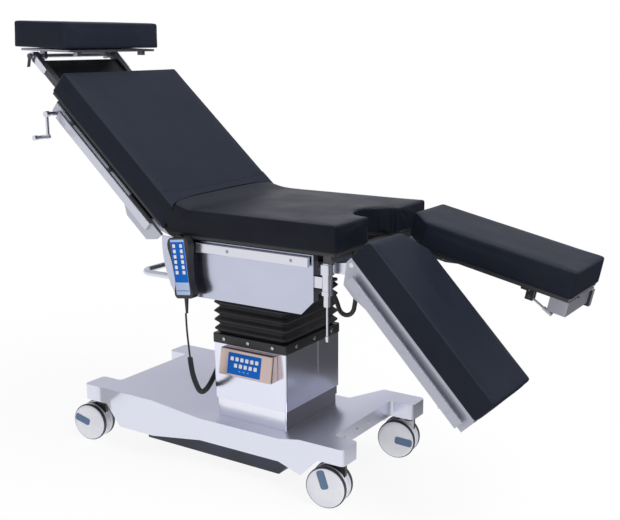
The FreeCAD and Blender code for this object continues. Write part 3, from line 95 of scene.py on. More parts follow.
# %% The camera
CAMERA_AZIMUTH, CAMERA_PITCH, CAMERA_ROLL = 33.3, 12.4, -0.3
turn = (Matrix.Rotation(math.radians(CAMERA_AZIMUTH), 3, "Z")
        @ Matrix.Rotation(math.radians(90 - CAMERA_PITCH), 3, "X")
        @ Matrix.Rotation(math.radians(CAMERA_ROLL), 3, "Z"))
bpy.ops.object.camera_add(location=at(1752.9, -2476.7, 1315.2), rotation=turn.to_euler())
camera = bpy.context.object
camera.data.sensor_width = 36.0
camera.data.lens = 57.52
camera.data.clip_end = 100.0
bpy.context.scene.camera = camera
bpy.context.scene.view_settings.view_transform = "Standard"
print("camera at", tuple(round(c, 3) for c in camera.location))

# %% [markdown]
# Operators act on whatever is selected, so we start each piece with nothing selected. These helpers
# choose points, edges or faces by a rule, the way a hand would click on them.

# %% Working helpers
def done():
    """Leaves edit mode."""
    if bpy.context.mode != "OBJECT":
        bpy.ops.object.mode_set(mode="OBJECT")


def nothing_selected():
    done()
    bpy.ops.object.select_all(action="DESELECT")


def only(piece):
    nothing_selected()
    piece.select_set(True)
    bpy.context.view_layer.objects.active = piece


def edit(piece, kind, chosen):
    """Opens a piece in edit mode with only the chosen points, edges or faces selected."""
    only(piece)
    bpy.ops.object.mode_set(mode="EDIT")
    bpy.ops.mesh.select_mode(type=kind)
    bpy.ops.mesh.select_all(action="DESELECT")
    bpy.ops.object.mode_set(mode="OBJECT")
    mesh = piece.data
    parts = {"VERT": mesh.vertices, "EDGE": mesh.edges, "FACE": mesh.polygons}[kind]
    for part in parts:
        part.select = bool(chosen(part))
    bpy.ops.object.mode_set(mode="EDIT")


def modify(piece, kind, **settings):
    """Adds a modifier, sets it and applies it."""
    only(piece)
    modifier = piece.modifiers.new(kind.title(), kind)
    for name, value in settings.items():
        setattr(modifier, name, value)
    bpy.ops.object.modifier_apply(modifier=modifier.name)


def settle(piece):
    """Moves a piece's place, turn and size into its mesh."""
    only(piece)
    bpy.ops.object.transform_apply(location=True, rotation=True, scale=True)


def placed(piece, matrix):
    """Moves a piece by a matrix and settles it."""
    piece.matrix_world = matrix @ piece.matrix_world
    settle(piece)
    return piece


def smooth(piece, degrees=35):
    only(piece)
    bpy.ops.object.shade_smooth_by_angle(angle=math.radians(degrees))


def block(name, low, high):
    """A box between two corners, in mm from the column's axis."""
    nothing_selected()
    a, b = at(*low), at(*high)
    bpy.ops.mesh.primitive_cube_add(size=1, location=(a + b) / 2)
    piece = bpy.context.object
    piece.name = name
    piece.scale = b - a
    settle(piece)
    return piece


def copy_of(piece, name):
    twin = piece.copy()
    twin.data = piece.data.copy()
    twin.name = name
    bpy.context.scene.collection.objects.link(twin)
    return twin


def joined(pieces, name):
    only(pieces[0])
    for piece in pieces[1:]:
        piece.select_set(True)
    bpy.ops.object.join()
    pieces[0].name = name
    return pieces[0]


print("helpers ready")

# %% [markdown]
# A hanging cord keeps its length and bends gently, so its centreline is one smooth spline through a
# handful of listed points. The tube is swept along that line.

# %% Cord lines
def line_curve(name, points, radius, kind="NURBS", steps=12, roundness=4):
    """A curve on a cord's points, in metres; with a radius it is a round tube."""
    data = bpy.data.curves.new(name, "CURVE")
    data.dimensions = "3D"
    data.resolution_u = steps
    data.bevel_depth = radius
    data.bevel_resolution = roundness
    data.use_fill_caps = radius > 0
    spline = data.splines.new(kind)
    spline.points.add(len(points) - 1)
    for knot, point in zip(spline.points, points):
        knot.co = (*point, 1.0)
    spline.order_u = 3
    spline.use_endpoint_u = True
    curve = bpy.data.objects.new(name, data)
    bpy.context.scene.collection.objects.link(curve)
    return curve


def read_line(name, points):
    """The points of a cord's centreline, read from its spline."""
    curve = line_curve(name + "_line", points, 0.0)
    bpy.context.view_layer.update()
    mesh = bpy.data.meshes.new_from_object(curve)
    line = [v.co.copy() for v in mesh.vertices]
    bpy.data.objects.remove(curve)
    bpy.data.meshes.remove(mesh)
    return line


def length_of(line):
    return sum((b - a).length for a, b in zip(line, line[1:]))


def tube(name, points, radius, **settings):
    """A cord as a mesh tube."""
    only(line_curve(name, points, radius, **settings))
    bpy.ops.object.convert(target="MESH")
    piece = bpy.context.object
    piece.name = name
    smooth(piece, 60)
    return piece


CORD_R, CURL_R, HOSE_R = 0.003, 0.0085, 0.0065
CORD_ROUTE = [at(-137, -280.5, 522), at(-136, -280.5, 478), at(-131, -281, 432), at(-126, -281, 386)]
CURL_ROUTE = [at(-126, -281, 386), at(-121.5, -281, 344.6), at(-122, -264, 300), at(-132, -232, 258),
              at(-146, -188, 246), at(-158, -144, 260), at(-164, -104, 292), at(-164, -78, 330),
              at(-164, -78, 362)]
HOSE_ROUTE = [at(299, -200, 640), at(326, -200, 640), at(346, -201, 612), at(357, -202, 580),
              at(379.6, -203, 571.8), at(400.4, -202, 583.8), at(405, -200, 609.4), at(407.3, -199, 631)]

cord_line = read_line("pendant_cord", CORD_ROUTE)
curl_line = read_line("coiled_cord", CURL_ROUTE)
hose_line = read_line("leg_hose", HOSE_ROUTE)
lengths = tuple(length_of(line) for line in (cord_line, curl_line, hose_line))
print("cord %.3f m, curl %.3f m, hose %.3f m" % lengths)

# %% [markdown]
# The hand control's cord is straight at first. It hangs from the tabletop and its lower end goes with
# the saddle. It is made as one tube.

# %% The straight cord
straight_cord = tube("hand_cord", CORD_ROUTE, CORD_R)
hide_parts("pendant_cord")
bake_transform(straight_cord)
length_of(cord_line)
print("straight cord: %d faces" % len(straight_cord.data.polygons))

# %% [markdown]
# The rest of it is a curly cord: a thin wire wound into a helix. A loop walks along the smooth line
# and turns round it, with a steady frame carried from step to step so that the turns don't jump. It
# crosses two joints, so it is made in three lengths, and the last one stays on the column.

# %% The curly cord
WIRE_R, TURN_PITCH, PER_TURN = 0.0021, 0.0046, 14


def even_line(line, step):
    """The same line in equal steps."""
    found, carried = [line[0].copy()], 0.0
    for a, b in zip(line, line[1:]):
        run = (b - a).length
        while carried + run >= step:
            t = (step - carried) / run
            a = a.lerp(b, t)
            run = (b - a).length
            found.append(a.copy())
            carried = 0.0
        carried += run
    return found


def helix(line, radius, pitch):
    """Points that wind round a line."""
    path = even_line(line, pitch / PER_TURN)
    side = Vector((1, 0, 0))
    points = []
    for i, point in enumerate(path):
        ahead = (path[min(i + 1, len(path) - 1)] - path[max(i - 1, 0)]).normalized()
        side = (side - ahead * side.dot(ahead)).normalized()
        angle = 2 * math.pi * i / PER_TURN
        offset = side * math.cos(angle) + ahead.cross(side) * math.sin(angle)
        points.append(point + offset * radius)
    return points


coil_points = helix(curl_line, CURL_R - WIRE_R, TURN_PITCH)
hanging_end, low_end = int(len(coil_points) * 0.30), int(len(coil_points) * 0.52)
coil_parts = [("curly_cord_hanging", coil_points[:hanging_end + 1], "saddle", "cardan"),
              ("curly_cord_low", coil_points[hanging_end:low_end + 1], "cardan", "column"),
              ("curly_cord_rising", coil_points[low_end:], "column", None)]
for name, points, first, second in coil_parts:
    piece = tube(name, points, WIRE_R, kind="POLY", steps=1, roundness=2)
    if second:
        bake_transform(piece)
    else:
        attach(piece, first)
    length_of(points)
    print(name, "%.2f m of wire, %d faces" % (length_of(points), len(piece.data.polygons)))
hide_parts("coiled_cord")

# %% [markdown]
# A black hose loops from the apron to the near leg section. It crosses two joints, the leg's swing
# and its droop, so it is made in two lengths that meet at the lowest point of the loop.

# %% The leg hose
middle = len(hose_line) // 2
hose_lines = [("leg_hose_fixed", hose_line[:middle + 1], "tabletop", "leg_bracket_near"),
              ("leg_hose_moving", hose_line[middle:], "leg_bracket_near", "leg_near")]
for name, line, first, second in hose_lines:
    piece = tube(name, line, HOSE_R)
    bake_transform(piece)
    length_of(line)
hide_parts("leg_hose")
print("hose in two lengths")

# %% [markdown]
# Every finish here is procedural: its grain, wear and colour come from noise, not from pictures. Shader
# maths soon turns into a tangle of nodes, so one small class lets us write it as plain arithmetic.

# %% Shader maths
class Signal:
    """A shader socket that can be used in sums."""

    def __init__(self, finish, socket):
        self.finish, self.socket = finish, socket

    def maths(self, operation, other=None, flipped=False):
        values = [self] if other is None else [other, self] if flipped else [self, other]
        return self.finish.add("ShaderNodeMath", {"operation": operation}, values)

    def __add__(self, other):
        return self.maths("ADD", other)

    __radd__ = __add__

    def __mul__(self, other):
        return self.maths("MULTIPLY", other)

    __rmul__ = __mul__

    def __sub__(self, other):
        return self.maths("SUBTRACT", other)

    def __rsub__(self, other):
        return self.maths("SUBTRACT", other, flipped=True)

    def held(self):
        """Kept between 0 and 1."""
        return self.maths("MAXIMUM", 0.0).maths("MINIMUM", 1.0)


def light_of(colour):
    """The linear light of a written colour such as '8a8c96'."""
    parts = [int(colour[i:i + 2], 16) / 255 for i in (0, 2, 4)]
    return tuple(c / 12.92 if c <= 0.04045 else ((c + 0.055) / 1.055) ** 2.4 for c in parts) + (1.0,)


class Finish:
    """One material. Plain values go on its Principled shader, and what varies is linked to it."""

    def __init__(self, name, colour, roughness, metallic=0.0, **settings):
        self.material = bpy.data.materials.new(name)
        self.material.use_nodes = True
        self.tree = self.material.node_tree
        self.tree.nodes.clear()
        self.output = self.tree.nodes.new("ShaderNodeOutputMaterial")
        self.shader = self.tree.nodes.new("ShaderNodeBsdfPrincipled")
        self.tree.links.new(self.shader.outputs[0], self.output.inputs[0])
        self.colour = light_of(colour)
        self.shader.inputs["Base Color"].default_value = self.colour
        self.shader.inputs["Roughness"].default_value = roughness
        self.shader.inputs["Metallic"].default_value = metallic
        for socket, value in settings.items():
            self.shader.inputs[socket.replace("_", " ")].default_value = value
        self.material.diffuse_color = self.colour
        self.place = self.add("ShaderNodeTexCoord", {}, {}, "Object")

    def add(self, kind, settings, values, output=0):
        """Adds a node: its settings first, then its sockets' values or links."""
        node = self.tree.nodes.new(kind)
        for name, value in settings.items():
            if name == "stops":
                ramp = node.color_ramp
                while len(ramp.elements) < len(value):
                    ramp.elements.new(0.5)
                for stop, (position, colour) in zip(ramp.elements, value):
                    stop.position, stop.color = position, colour
            else:
                setattr(node, name, value)
        pairs = values.items() if isinstance(values, dict) else enumerate(values)
        for socket, value in pairs:
            if isinstance(value, Signal):
                self.tree.links.new(value.socket, node.inputs[socket])
            else:
                node.inputs[socket].default_value = value
        return Signal(self, node.outputs[output])

    def feed(self, socket, signal):
        self.tree.links.new(signal.socket, self.shader.inputs[socket])

    def noise(self, scale, detail=3.0, stretch=None, roughness=0.55, lean=0.0):
        where = self.place
        if lean:
            where = self.add("ShaderNodeMapping", {},
                             {"Vector": where, "Rotation": (0, -math.radians(lean), 0)})
        if stretch is not None:
            where = self.add("ShaderNodeMapping", {}, {"Vector": where, "Scale": stretch})
        return self.add("ShaderNodeTexNoise", {}, {"Vector": where, "Scale": scale, "Detail": detail,
                                                   "Roughness": roughness})

    def shade(self, mask, low, high):
        """A mask turned into a number between low and high."""
        return self.add("ShaderNodeMapRange", {}, {"Value": mask, "From Min": 0.3, "From Max": 0.7,
                                                   "To Min": low, "To Max": high})

    def tint(self, mask, low, high):
        """A colour between two written ones."""
        return self.add("ShaderNodeMix", {"data_type": "RGBA"},
                        {0: mask, 6: light_of(low), 7: light_of(high)}, 2)

    def bump(self, height, strength, distance, under=None):
        values = {"Height": height, "Strength": strength, "Distance": distance}
        if under is not None:
            values["Normal"] = under
        return self.add("ShaderNodeBump", {}, values)

    def edge_wear(self):
        """Brighter where the mesh is sharply convex."""
        sharp = self.add("ShaderNodeNewGeometry", {}, {}, "Pointiness")
        return (sharp - 0.52) * 12.0


finishes = {}
print("shader helpers ready")

# %% [markdown]
# The pads have a vinyl cover: dark, slightly blue, with a fine leather-like grain and a soft sheen. Two
# sizes of cells make the grain, and slow noise makes patches that are rubbed a little smoother.

# %% Vinyl
def vinyl(name, dark, pale, rough, gleam):
    finish = Finish(name, dark, rough, Specular_IOR_Level=gleam)
    patches = finish.noise(7.0, 3.0)
    grain = finish.add("ShaderNodeTexVoronoi", {"feature": "DISTANCE_TO_EDGE"},
                       {"Vector": finish.place, "Scale": 620.0})
    pores = finish.noise(900.0, 2.0)
    finish.feed("Base Color", finish.tint(finish.shade(patches, 0.0, 1.0), dark, pale))
    finish.feed("Roughness", finish.shade(patches, rough - 0.05, rough + 0.07))
    soft = finish.bump(finish.noise(26.0, 2.0), 0.12, 0.004)
    fine = finish.bump(grain * 0.7 + pores * 0.3, 0.10, 0.0006, soft)
    finish.feed("Normal", fine)
    return finish.material


finishes["pad_cover"] = vinyl("navy_vinyl", "1c202b", "21252f", 0.44, 0.08)
finishes["seat_cover"] = vinyl("seat_vinyl", "14171f", "1a1d26", 0.38, 0.11)
print("vinyl:", [finishes[k].name for k in ("pad_cover", "seat_cover")])

# %% [markdown]
# The steel covers are brushed: fine scratches that all run one way. Noise that is stretched a
# hundredfold along one axis gives them, and drives both the roughness and a very shallow bump. On the
# sections that are raised or lowered, the scratches lean with the section.

# %% Brushed steel
def brushed(name, pale, dark, rough, along, metallic=1.0, lean=0.0):
    finish = Finish(name, pale, rough, metallic)
    stretch = {"x": (1.2, 90.0, 90.0), "y": (90.0, 1.2, 90.0), "z": (90.0, 90.0, 1.2)}[along]
    lines = finish.noise(14.0, 4.0, stretch, 0.65, lean)
    clouds = finish.noise(5.0, 2.0)
    tone = finish.shade(lines, 0.0, 0.5) + finish.shade(clouds, 0.0, 0.5)
    finish.feed("Base Color", finish.tint(tone, dark, pale))
    finish.feed("Roughness", finish.shade(lines, rough - 0.02, rough + 0.03))
    finish.feed("Normal", finish.bump(lines, 0.005, 0.0005))
    return finish.material


# Each row: name, pale and dark tint, roughness, way of the scratches, and metallic and lean if not plain.
STEELS = [
    ("satin_steel", "e2e4f2", "dcdeec", 0.29, "x", 0.88),
    ("upright_steel", "e8eafa", "dfe1f1", 0.20, "z"),
    ("lower_steel", "f2f3fc", "e8e9f4", 0.24, "z"),
    # Painted shade: a darker copy of the column's lower steel, for its faces towards the foot end.
    ("shaded_steel", "908e92", "868489", 0.24, "z"),
    ("apron_steel", "c4c8da", "babed0", 0.20, "x"),
    ("leg_near_steel", "babcc8", "b0b2be", 0.46, "x", 0.55, 46.3),
    ("leg_far_steel", "b4b6c0", "aaacb6", 0.44, "x", 0.7, 12.1),
    ("back_steel", "c0c2cd", "b6b8c3", 0.40, "x", 0.8, 41.85),
    ("back_rail_steel", "d2d4de", "c8cad4", 0.34, "x", 0.85, 41.85),
    ("grey_steel", "9a9ca6", "8b8d96", 0.38, "x"),
    ("bright_steel", "dcdde6", "d2d3dc", 0.22, "x"),
    ("screw_metal", "d8d9de", "c2c3ca", 0.25, "x"),
    ("rail_screw", "a4a7b4", "9a9daa", 0.40, "x", 0.6),
]
for name, *look in STEELS:
    finishes[name] = brushed(name, *look)
print("steels:", len([k for k in finishes if "steel" in k]))

# %% [markdown]
# Paint over metal or a casting has a faint orange peel, and its edges are rubbed paler by feet and
# mops. The casting keeps the grain of its sand mould.

# %% Paints and castings
def painted(name, colour, worn, rough, peel=0.10, scale=160.0, metallic=0.0):
    finish = Finish(name, colour, rough, metallic, Coat_Roughness=0.2)
    dirt = finish.noise(11.0, 4.0)
    wear = (finish.edge_wear() + finish.shade(dirt, -0.35, 0.15)).held()
    finish.feed("Base Color", finish.tint(wear, colour, worn))
    finish.feed("Roughness", finish.shade(dirt, rough - 0.05, rough + 0.10))
    finish.feed("Normal", finish.bump(finish.noise(scale, 2.0), peel, 0.001))
    return finish.material


finishes["navy_paint"] = painted("navy_paint", "141a2b", "39415a", 0.45)
finishes["black_paint"] = painted("black_paint", "202124", "4a4b50", 0.40)
finishes["cast_iron"] = painted("cast_iron", "55575c", "787a80", 0.62, 0.35, 240.0, 0.6)
finishes["board_black"] = painted("board_laminate", "1d1d20", "38383c", 0.60, 0.08)
print("paints:", ["navy_paint", "black_paint", "cast_iron", "board_black"])

# %% [markdown]
# Moulded plastic and rubber are dielectric: their colour is in the body, and only a faint spark-eroded
# texture breaks up the highlight.

# %% Plastics and rubber
def moulded(name, colour, shaded, rough, texture=0.06, scale=500.0, **settings):
    finish = Finish(name, colour, rough, 0.0, **settings)
    clouds = finish.noise(18.0, 3.0)
    finish.feed("Base Color", finish.tint(finish.shade(clouds, 0.0, 1.0), colour, shaded))
    finish.feed("Roughness", finish.shade(clouds, rough - 0.04, rough + 0.07))
    finish.feed("Normal", finish.bump(finish.noise(scale, 2.0), texture, 0.0005))
    return finish.material


# Each row: name, colour, shaded colour, roughness, and the texture's depth and scale if not plain.
PLASTICS = [
    ("black_plastic", "1e1e22", "26262a", 0.42),
    ("white_plastic", "e6e6ea", "d9d9de", 0.33, 0.03),
    ("key_white", "eef0fa", "e2e5f2", 0.35, 0.02),
    ("key_line", "5a6684", "53607c", 0.40, 0.02),
    ("bellows_rubber", "1b1b1f", "242428", 0.55, 0.12, 320.0),
    ("cord_rubber", "18181b", "212124", 0.48, 0.08, 700.0),
    ("key_pale", "b4c6ea", "a9bbe0", 0.38, 0.02),
    ("wheel_white", "f0f0f5", "e6e6ee", 0.36, 0.03, 300.0),
    ("rim_grey", "3c4350", "353b47", 0.50, 0.08),
    ("slot_grey", "5c7697", "546d8c", 0.42, 0.04),
]
for name, *look in PLASTICS:
    finishes[name] = moulded(name, *look)
finishes["panel_plastic"] = brushed("panel_metal", "d8c4bc", "cab6b0", 0.30, "x")
finishes["blue_keypad"] = moulded("blue_keypad", "005fc0", "0468c4", 0.50, 0.03, Specular_IOR_Level=0.15)
print("plastics and rubbers ready, %d finishes in all" % len(finishes))

# %% [markdown]
# A photographer's white room: pale floor, a big soft lamp high over the foot end and a weaker one
# beyond the table. Metal shows what it mirrors, so the room is bright on the near side and darker
# beyond the foot end; that is what makes the column's two faces read as pale and dark. On the lower
# covers of the column the dark face is also painted shade.

# %% The room
def room():
    world = bpy.data.worlds.new("studio")
    bpy.context.scene.world = world
    world.use_nodes = True
    tree = world.node_tree
    tree.nodes.clear()
    new, link = tree.nodes.new, tree.links.new
    where, split = new("ShaderNodeTexCoord"), new("ShaderNodeSeparateXYZ")
    ray = new("ShaderNodeLightPath")
    link(where.outputs["Generated"], split.inputs[0])

    def fade(axis, low, high, end):
        """Falls from 1 to an end value along an axis of the room."""
        node = new("ShaderNodeMapRange")
        link(split.outputs[axis], node.inputs["Value"])
        for socket, value in (("From Min", low), ("From Max", high), ("To Min", 1.0), ("To Max", end)):
            node.inputs[socket].default_value = value
        return node.outputs[0]

    def glow_of(colour, strength=1.0):
        node = new("ShaderNodeBackground")
        node.inputs["Color"].default_value = (*colour, 1)
        node.inputs["Strength"].default_value = strength
        return node

    def chosen_by(kind, other, picked):
        """One light for a kind of ray, another for the rest."""
        node = new("ShaderNodeMixShader")
        for socket, source in enumerate((ray.outputs[kind], other, picked)):
            link(source, node.inputs[socket])
        return node.outputs[0]

    both = new("ShaderNodeMath")
    both.operation = "MULTIPLY"
    link(fade("X", 0.05, 0.75, 0.06), both.inputs[0])
    link(fade("Z", -0.05, 0.30, 0.66), both.inputs[1])
    seen, ambient = glow_of((1, 1, 1)), glow_of((0.95, 0.96, 1.0), 0.50)
    mirrored = glow_of((0.93, 0.93, 1.0))
    link(both.outputs[0], mirrored.inputs["Strength"])
    unseen = chosen_by("Is Glossy Ray", ambient.outputs[0], mirrored.outputs[0])
    everything = chosen_by("Is Camera Ray", unseen, seen.outputs[0])
    link(everything, new("ShaderNodeOutputWorld").inputs[0])


room()
nothing_selected()
bpy.ops.mesh.primitive_plane_add(size=60, location=(0, 0, -0.001))
floor = bpy.context.object
floor.name = "floor"
settle(floor)
paper = Finish("paper_floor", "fafafc", 0.9)
distance = paper.add("ShaderNodeVectorMath", {"operation": "LENGTH"}, {0: paper.place}, 1)
far = paper.add("ShaderNodeMapRange", {}, {"Value": distance, "From Min": 0.8, "From Max": 2.4,
                                           "To Min": 0.90, "To Max": 1.0})
beyond = paper.add("ShaderNodeVectorMath", {"operation": "DOT_PRODUCT"},
                   {0: paper.place, 1: (0.75, 0.66, 0.0)}, 1)
dusk = paper.add("ShaderNodeMapRange", {}, {"Value": beyond, "From Min": 0.20, "From Max": 0.95,
                                            "To Min": 1.0, "To Max": 0.07})
ray = paper.add("ShaderNodeLightPath", {}, {}, "Is Glossy Ray")
strength = 1.0 - ray * (1.0 - dusk)
glow = paper.add("ShaderNodeEmission", {}, {"Color": (1, 1, 1, 1), "Strength": strength})
far = (far + ray).held()
blended = paper.add("ShaderNodeMixShader", {}, {0: far})
paper.tree.links.new(paper.shader.outputs[0], blended.socket.node.inputs[1])
paper.tree.links.new(glow.socket, blended.socket.node.inputs[2])
paper.tree.links.new(blended.socket, paper.output.inputs[0])
floor.data.materials.append(paper.material)


def lamp(name, place, aim, size, power):
    nothing_selected()
    bpy.ops.object.light_add(type="AREA", location=place)
    light = bpy.context.object
    light.name = name
    light.data.shape = "DISK"
    light.data.size = size
    light.data.energy = power
    light.rotation_euler = (Vector(aim) - Vector(place)).to_track_quat("-Z", "Y").to_euler()


lamp("soft_lamp", (2.3, -0.7, 3.4), (0, 0, 0.7), 2.6, 104)
lamp("top_lamp", (0.4, 0.6, 3.6), (0, 0, 0.6), 2.2, 34)

# %% [markdown]
# Each part from the CAD model names the finish that it is made in, so we can dress them all in one
# loop. The material is set on the object and the mesh stays as it is.

# %% Dressing the CAD parts
slot_of = {part["node"]: part["material_slot"] for part in frame["record"]["subparts"]}


def dress(piece, finish):
    """Gives a piece one finish."""
    piece.data.materials.clear()
    piece.data.materials.append(finishes[finish])
    return piece


for name, node in nodes.items():
    for held in node.material_slots:
        held.link = "OBJECT"
        held.material = finishes[slot_of[name]]
for name in ("hand_cord", "curly_cord_hanging", "curly_cord_low", "curly_cord_rising", "leg_hose_fixed",
             "leg_hose_moving"):
    dress(bpy.data.objects[name], "cord_rubber")
print("dressed", len(nodes), "parts")

# %% [markdown]
# A pad is a foam block in a tight vinyl cover. It starts as a box, gets its outline and soft edges,
# and is then blown up a little as cloth. Its underside is pinned, because it lies flat on its board.

# %% Pad helpers
def cut_off(piece, point, normal):
    """Saws a piece through a plane, keeps the side behind the normal and closes the cut."""
    edit(piece, "VERT", lambda v: True)
    bpy.ops.mesh.bisect(plane_co=point, plane_no=normal, clear_outer=True, use_fill=True)
    done()


def soften(piece, rule, width, segments=4):
    """Rounds the edges that a rule picks by their middle and direction."""
    mesh = piece.data
    points = [v.co.copy() for v in mesh.vertices]

    def picked(edge):
        a, b = (points[i] for i in edge.vertices)
        return rule((a + b) / 2, (b - a).normalized())

    edit(piece, "EDGE", picked)
    bpy.ops.mesh.bevel(offset=width * MM, segments=segments, profile=0.5, affect="EDGES")
    done()


def on_top(top):
    """A rule for the level edges at a height."""
    return lambda m, d: abs(m.z - top) < 1e-5 and abs(d.z) < 0.1


VOXEL, PRESSURE, CLOTH_STEPS = 6.0, 2.5, 20


def inflate(piece, low, cap):
    """Fills a closed shape with foam: cloth under pressure, pinned below the height low."""
    only(piece)
    piece.data.remesh_voxel_size = VOXEL * MM
    bpy.ops.object.voxel_remesh()
    before = [v.co.copy() for v in piece.data.vertices]
    pinned = piece.vertex_groups.new(name="pinned")
    pinned.add([i for i, co in enumerate(before) if co.z < low], 1.0, "REPLACE")
    cloth = piece.modifiers.new("Cloth", "CLOTH")
    cloth.settings.quality = 4
    cloth.settings.mass = 0.4
    cloth.settings.tension_stiffness = 25
    cloth.settings.compression_stiffness = 25
    cloth.settings.use_pressure = True
    cloth.settings.uniform_pressure_force = PRESSURE
    cloth.settings.effector_weights.gravity = 0
    cloth.settings.vertex_group_mass = "pinned"
    cloth.collision_settings.use_collision = False
    for step in range(1, CLOTH_STEPS + 1):
        bpy.context.scene.frame_set(step)
    only(piece)
    bpy.ops.object.modifier_apply(modifier=cloth.name)
    piece.vertex_groups.clear()
    bpy.context.scene.frame_set(1)
    for vertex, rest in zip(piece.data.vertices, before):
        moved = vertex.co - rest
        if moved.length > cap * MM:
            vertex.co = rest + moved.normalized() * cap * MM
    modify(piece, "SMOOTH", factor=0.5, iterations=2)
    modify(piece, "SUBSURF", levels=1, render_levels=1)
    smooth(piece, 60)
    return piece


def pad(piece, finish="pad_cover"):
    dress(piece, finish)
    print("%s: %d faces" % (piece.name, len(piece.data.polygons)))


print("pad helpers ready")

# %% [markdown]
# The seat pad has a rounded cut-out at its foot end, between the legs. A drum is taken out of the box
# with a Boolean modifier, which leaves a clean curved wall.

# %% Seat pad
SHY = 0.6    # each pad starts this much smaller than its room, because it swells
SEAT_X0, SEAT_X1, SEAT_Y, SEAT_LOW, SEAT_TOP, NOTCH = -160.0, 384.0, 268.0, 758.0, 836.0, 88.0

seat = block("seat_cushion", (SEAT_X0 + SHY, -SEAT_Y + SHY, SEAT_LOW),
             (SEAT_X1 - SHY, SEAT_Y - SHY, SEAT_TOP - SHY))
nothing_selected()
bpy.ops.mesh.primitive_cylinder_add(vertices=96, radius=(NOTCH + SHY) * MM, depth=0.3,
                                    location=at(SEAT_X1, 0, (SEAT_LOW + SEAT_TOP) / 2))
drum = bpy.context.object
modify(seat, "BOOLEAN", object=drum, solver="EXACT")
bpy.data.objects.remove(drum)
edge_y, foot_x = (SEAT_Y - 10) * MM, at(SEAT_X1 - 10, 0, 0).x
middle_y = at(0, 0, 0).y
soften(seat, lambda m, d: abs(d.z) > 0.9 and abs(m.y - middle_y) > edge_y and m.x > foot_x, 9, 4)
soften(seat, on_top(at(0, 0, SEAT_TOP - SHY).z), 5, 3)
inflate(seat, at(0, 0, SEAT_LOW + 4).z, 1.3)
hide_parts("seat_pad")
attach(seat, "tabletop")
pad(seat, "seat_cover")

# %% [markdown]
# Round the cut-out the cover is gathered, so its wall has small upright wrinkles. They are pressed in
# by moving the wall's points in and out, more at the bottom than at the top edge.

# %% Wrinkles in the cut-out
def gather(piece):
    centre = at(SEAT_X1, 0, 0)
    for vertex in piece.data.vertices:
        out = Vector((vertex.co.x - centre.x, vertex.co.y - centre.y, 0))
        if out.length > (NOTCH + 9) * MM or out.x > -0.004:
            continue
        angle = math.atan2(out.y, -out.x)
        height = (vertex.co.z - SEAT_LOW * MM) / ((SEAT_TOP - SEAT_LOW) * MM)
        fade = max(0.0, 1 - height) ** 0.5 * min(1.0, max(0.0, height * 5))
        wave = math.sin(angle * 17 + 2 * math.sin(angle * 3)) + 0.6 * math.sin(angle * 31 + 1.3)
        vertex.co += out.normalized() * wave * fade * 1.5 * MM


gather(seat)
print("cut-out gathered")

# %% [markdown]
# The back pad is made lying level over the hinge, where sizes are easy to read, and is then turned
# about the hinge to the angle of the raised back. Its seat end is sloped to clear the seat.

# %% Back pad
HINGE_X, HINGE_Z, BACK_ANGLE = -217.0, 750.0, 41.85
BACK_HINGE = (HINGE_X, 0.0, HINGE_Z)
BACK_COS, BACK_SIN = math.cos(math.radians(BACK_ANGLE)), math.sin(math.radians(BACK_ANGLE))
BACK_START, BACK_END = 24.0, 622.0    # the pad's two ends, measured up the back from its hinge


def turned(point, degrees):
    """A turn about a crosswise axis through a point in mm; positive lifts the head end."""
    pivot = Matrix.Translation(at(*point))
    return pivot @ Matrix.Rotation(math.radians(degrees), 4, "Y") @ pivot.inverted()


back = block("back_cushion", (HINGE_X - BACK_END + SHY, -SEAT_Y + SHY, SEAT_LOW),
             (HINGE_X - BACK_START - SHY, SEAT_Y - SHY, SEAT_TOP - SHY))
slope = Vector((41, 0, 60)).normalized()
cut_off(back, at(HINGE_X - 54, 0, 815.5) - slope * SHY * MM, slope)
end_x = at(HINGE_X - BACK_END + SHY + 1, 0, 0).x
soften(back, lambda m, d: abs(d.z) > 0.9 and m.x < end_x, 9, 4)
soften(back, on_top(at(0, 0, SEAT_TOP - SHY).z), 5, 3)
inflate(back, at(0, 0, SEAT_LOW + 4).z, 1.3)
placed(back, turned(BACK_HINGE, BACK_ANGLE))
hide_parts("back_pad")
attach(back, "back")
pad(back)

# %% [markdown]
# Where the back is raised, the seat's cover is drawn up against the back cushion in a soft curved fold.
# It is a closed roll of cover: a grid is wrapped round a cross-section that rises from the seat to the
# crease, dips into it, and runs on under the back's cover. Beyond the crease its faces take the back
# cover's finish.

# %% Seat fold
CREASE = [(-268, -171, 843), (-262, -178, 848), (-245, -186, 852), (-215, -193, 854), (-150, -201, 856),
          (69, -206, 857), (190, -203, 857), (235, -197, 853), (256, -188, 846), (268, -176, 834)]
UNDER_BACK = [(107, 68), (96, 64), (84, 61), (62, 52), (42, 41), (27, 33), (14, 29), (4, 18)]
IN_SEAT = [(-186, 763), (-150, 763), (-150, 790), (-150, 816), (-140, 826)]
FOLD_Y, SHOULDER = 267.8, 6.0


def from_back(u, n):
    """A place on the raised back, in mm: u runs up the back from its hinge, n stands off its board."""
    return (HINGE_X - u * BACK_COS + n * BACK_SIN, HINGE_Z + u * BACK_SIN + n * BACK_COS)


def up_the_back(x, z):
    """How far up the back a place lies, in mm from the hinge."""
    return -(x - HINGE_X) * BACK_COS + (z - HINGE_Z) * BACK_SIN


def along_crease(y):
    """The crease's x and z at one place across the table, in mm."""
    for (y0, *a), (y1, *b) in zip(CREASE, CREASE[1:]):
        if y <= y1 + 1e-6:
            share = (y - y0) / (y1 - y0)
            return [p + (q - p) * share for p, q in zip(a, b)]
    return list(CREASE[-1][1:])


def seat_height(x, y):
    """The height of the seat's cover at a place, in mm."""
    place = at(x, y, 836)
    hit, found, *_ = seat.ray_cast(place + Vector((0, 0, 0.05)), (0, 0, -1))
    return found.z / MM if hit else 836.0


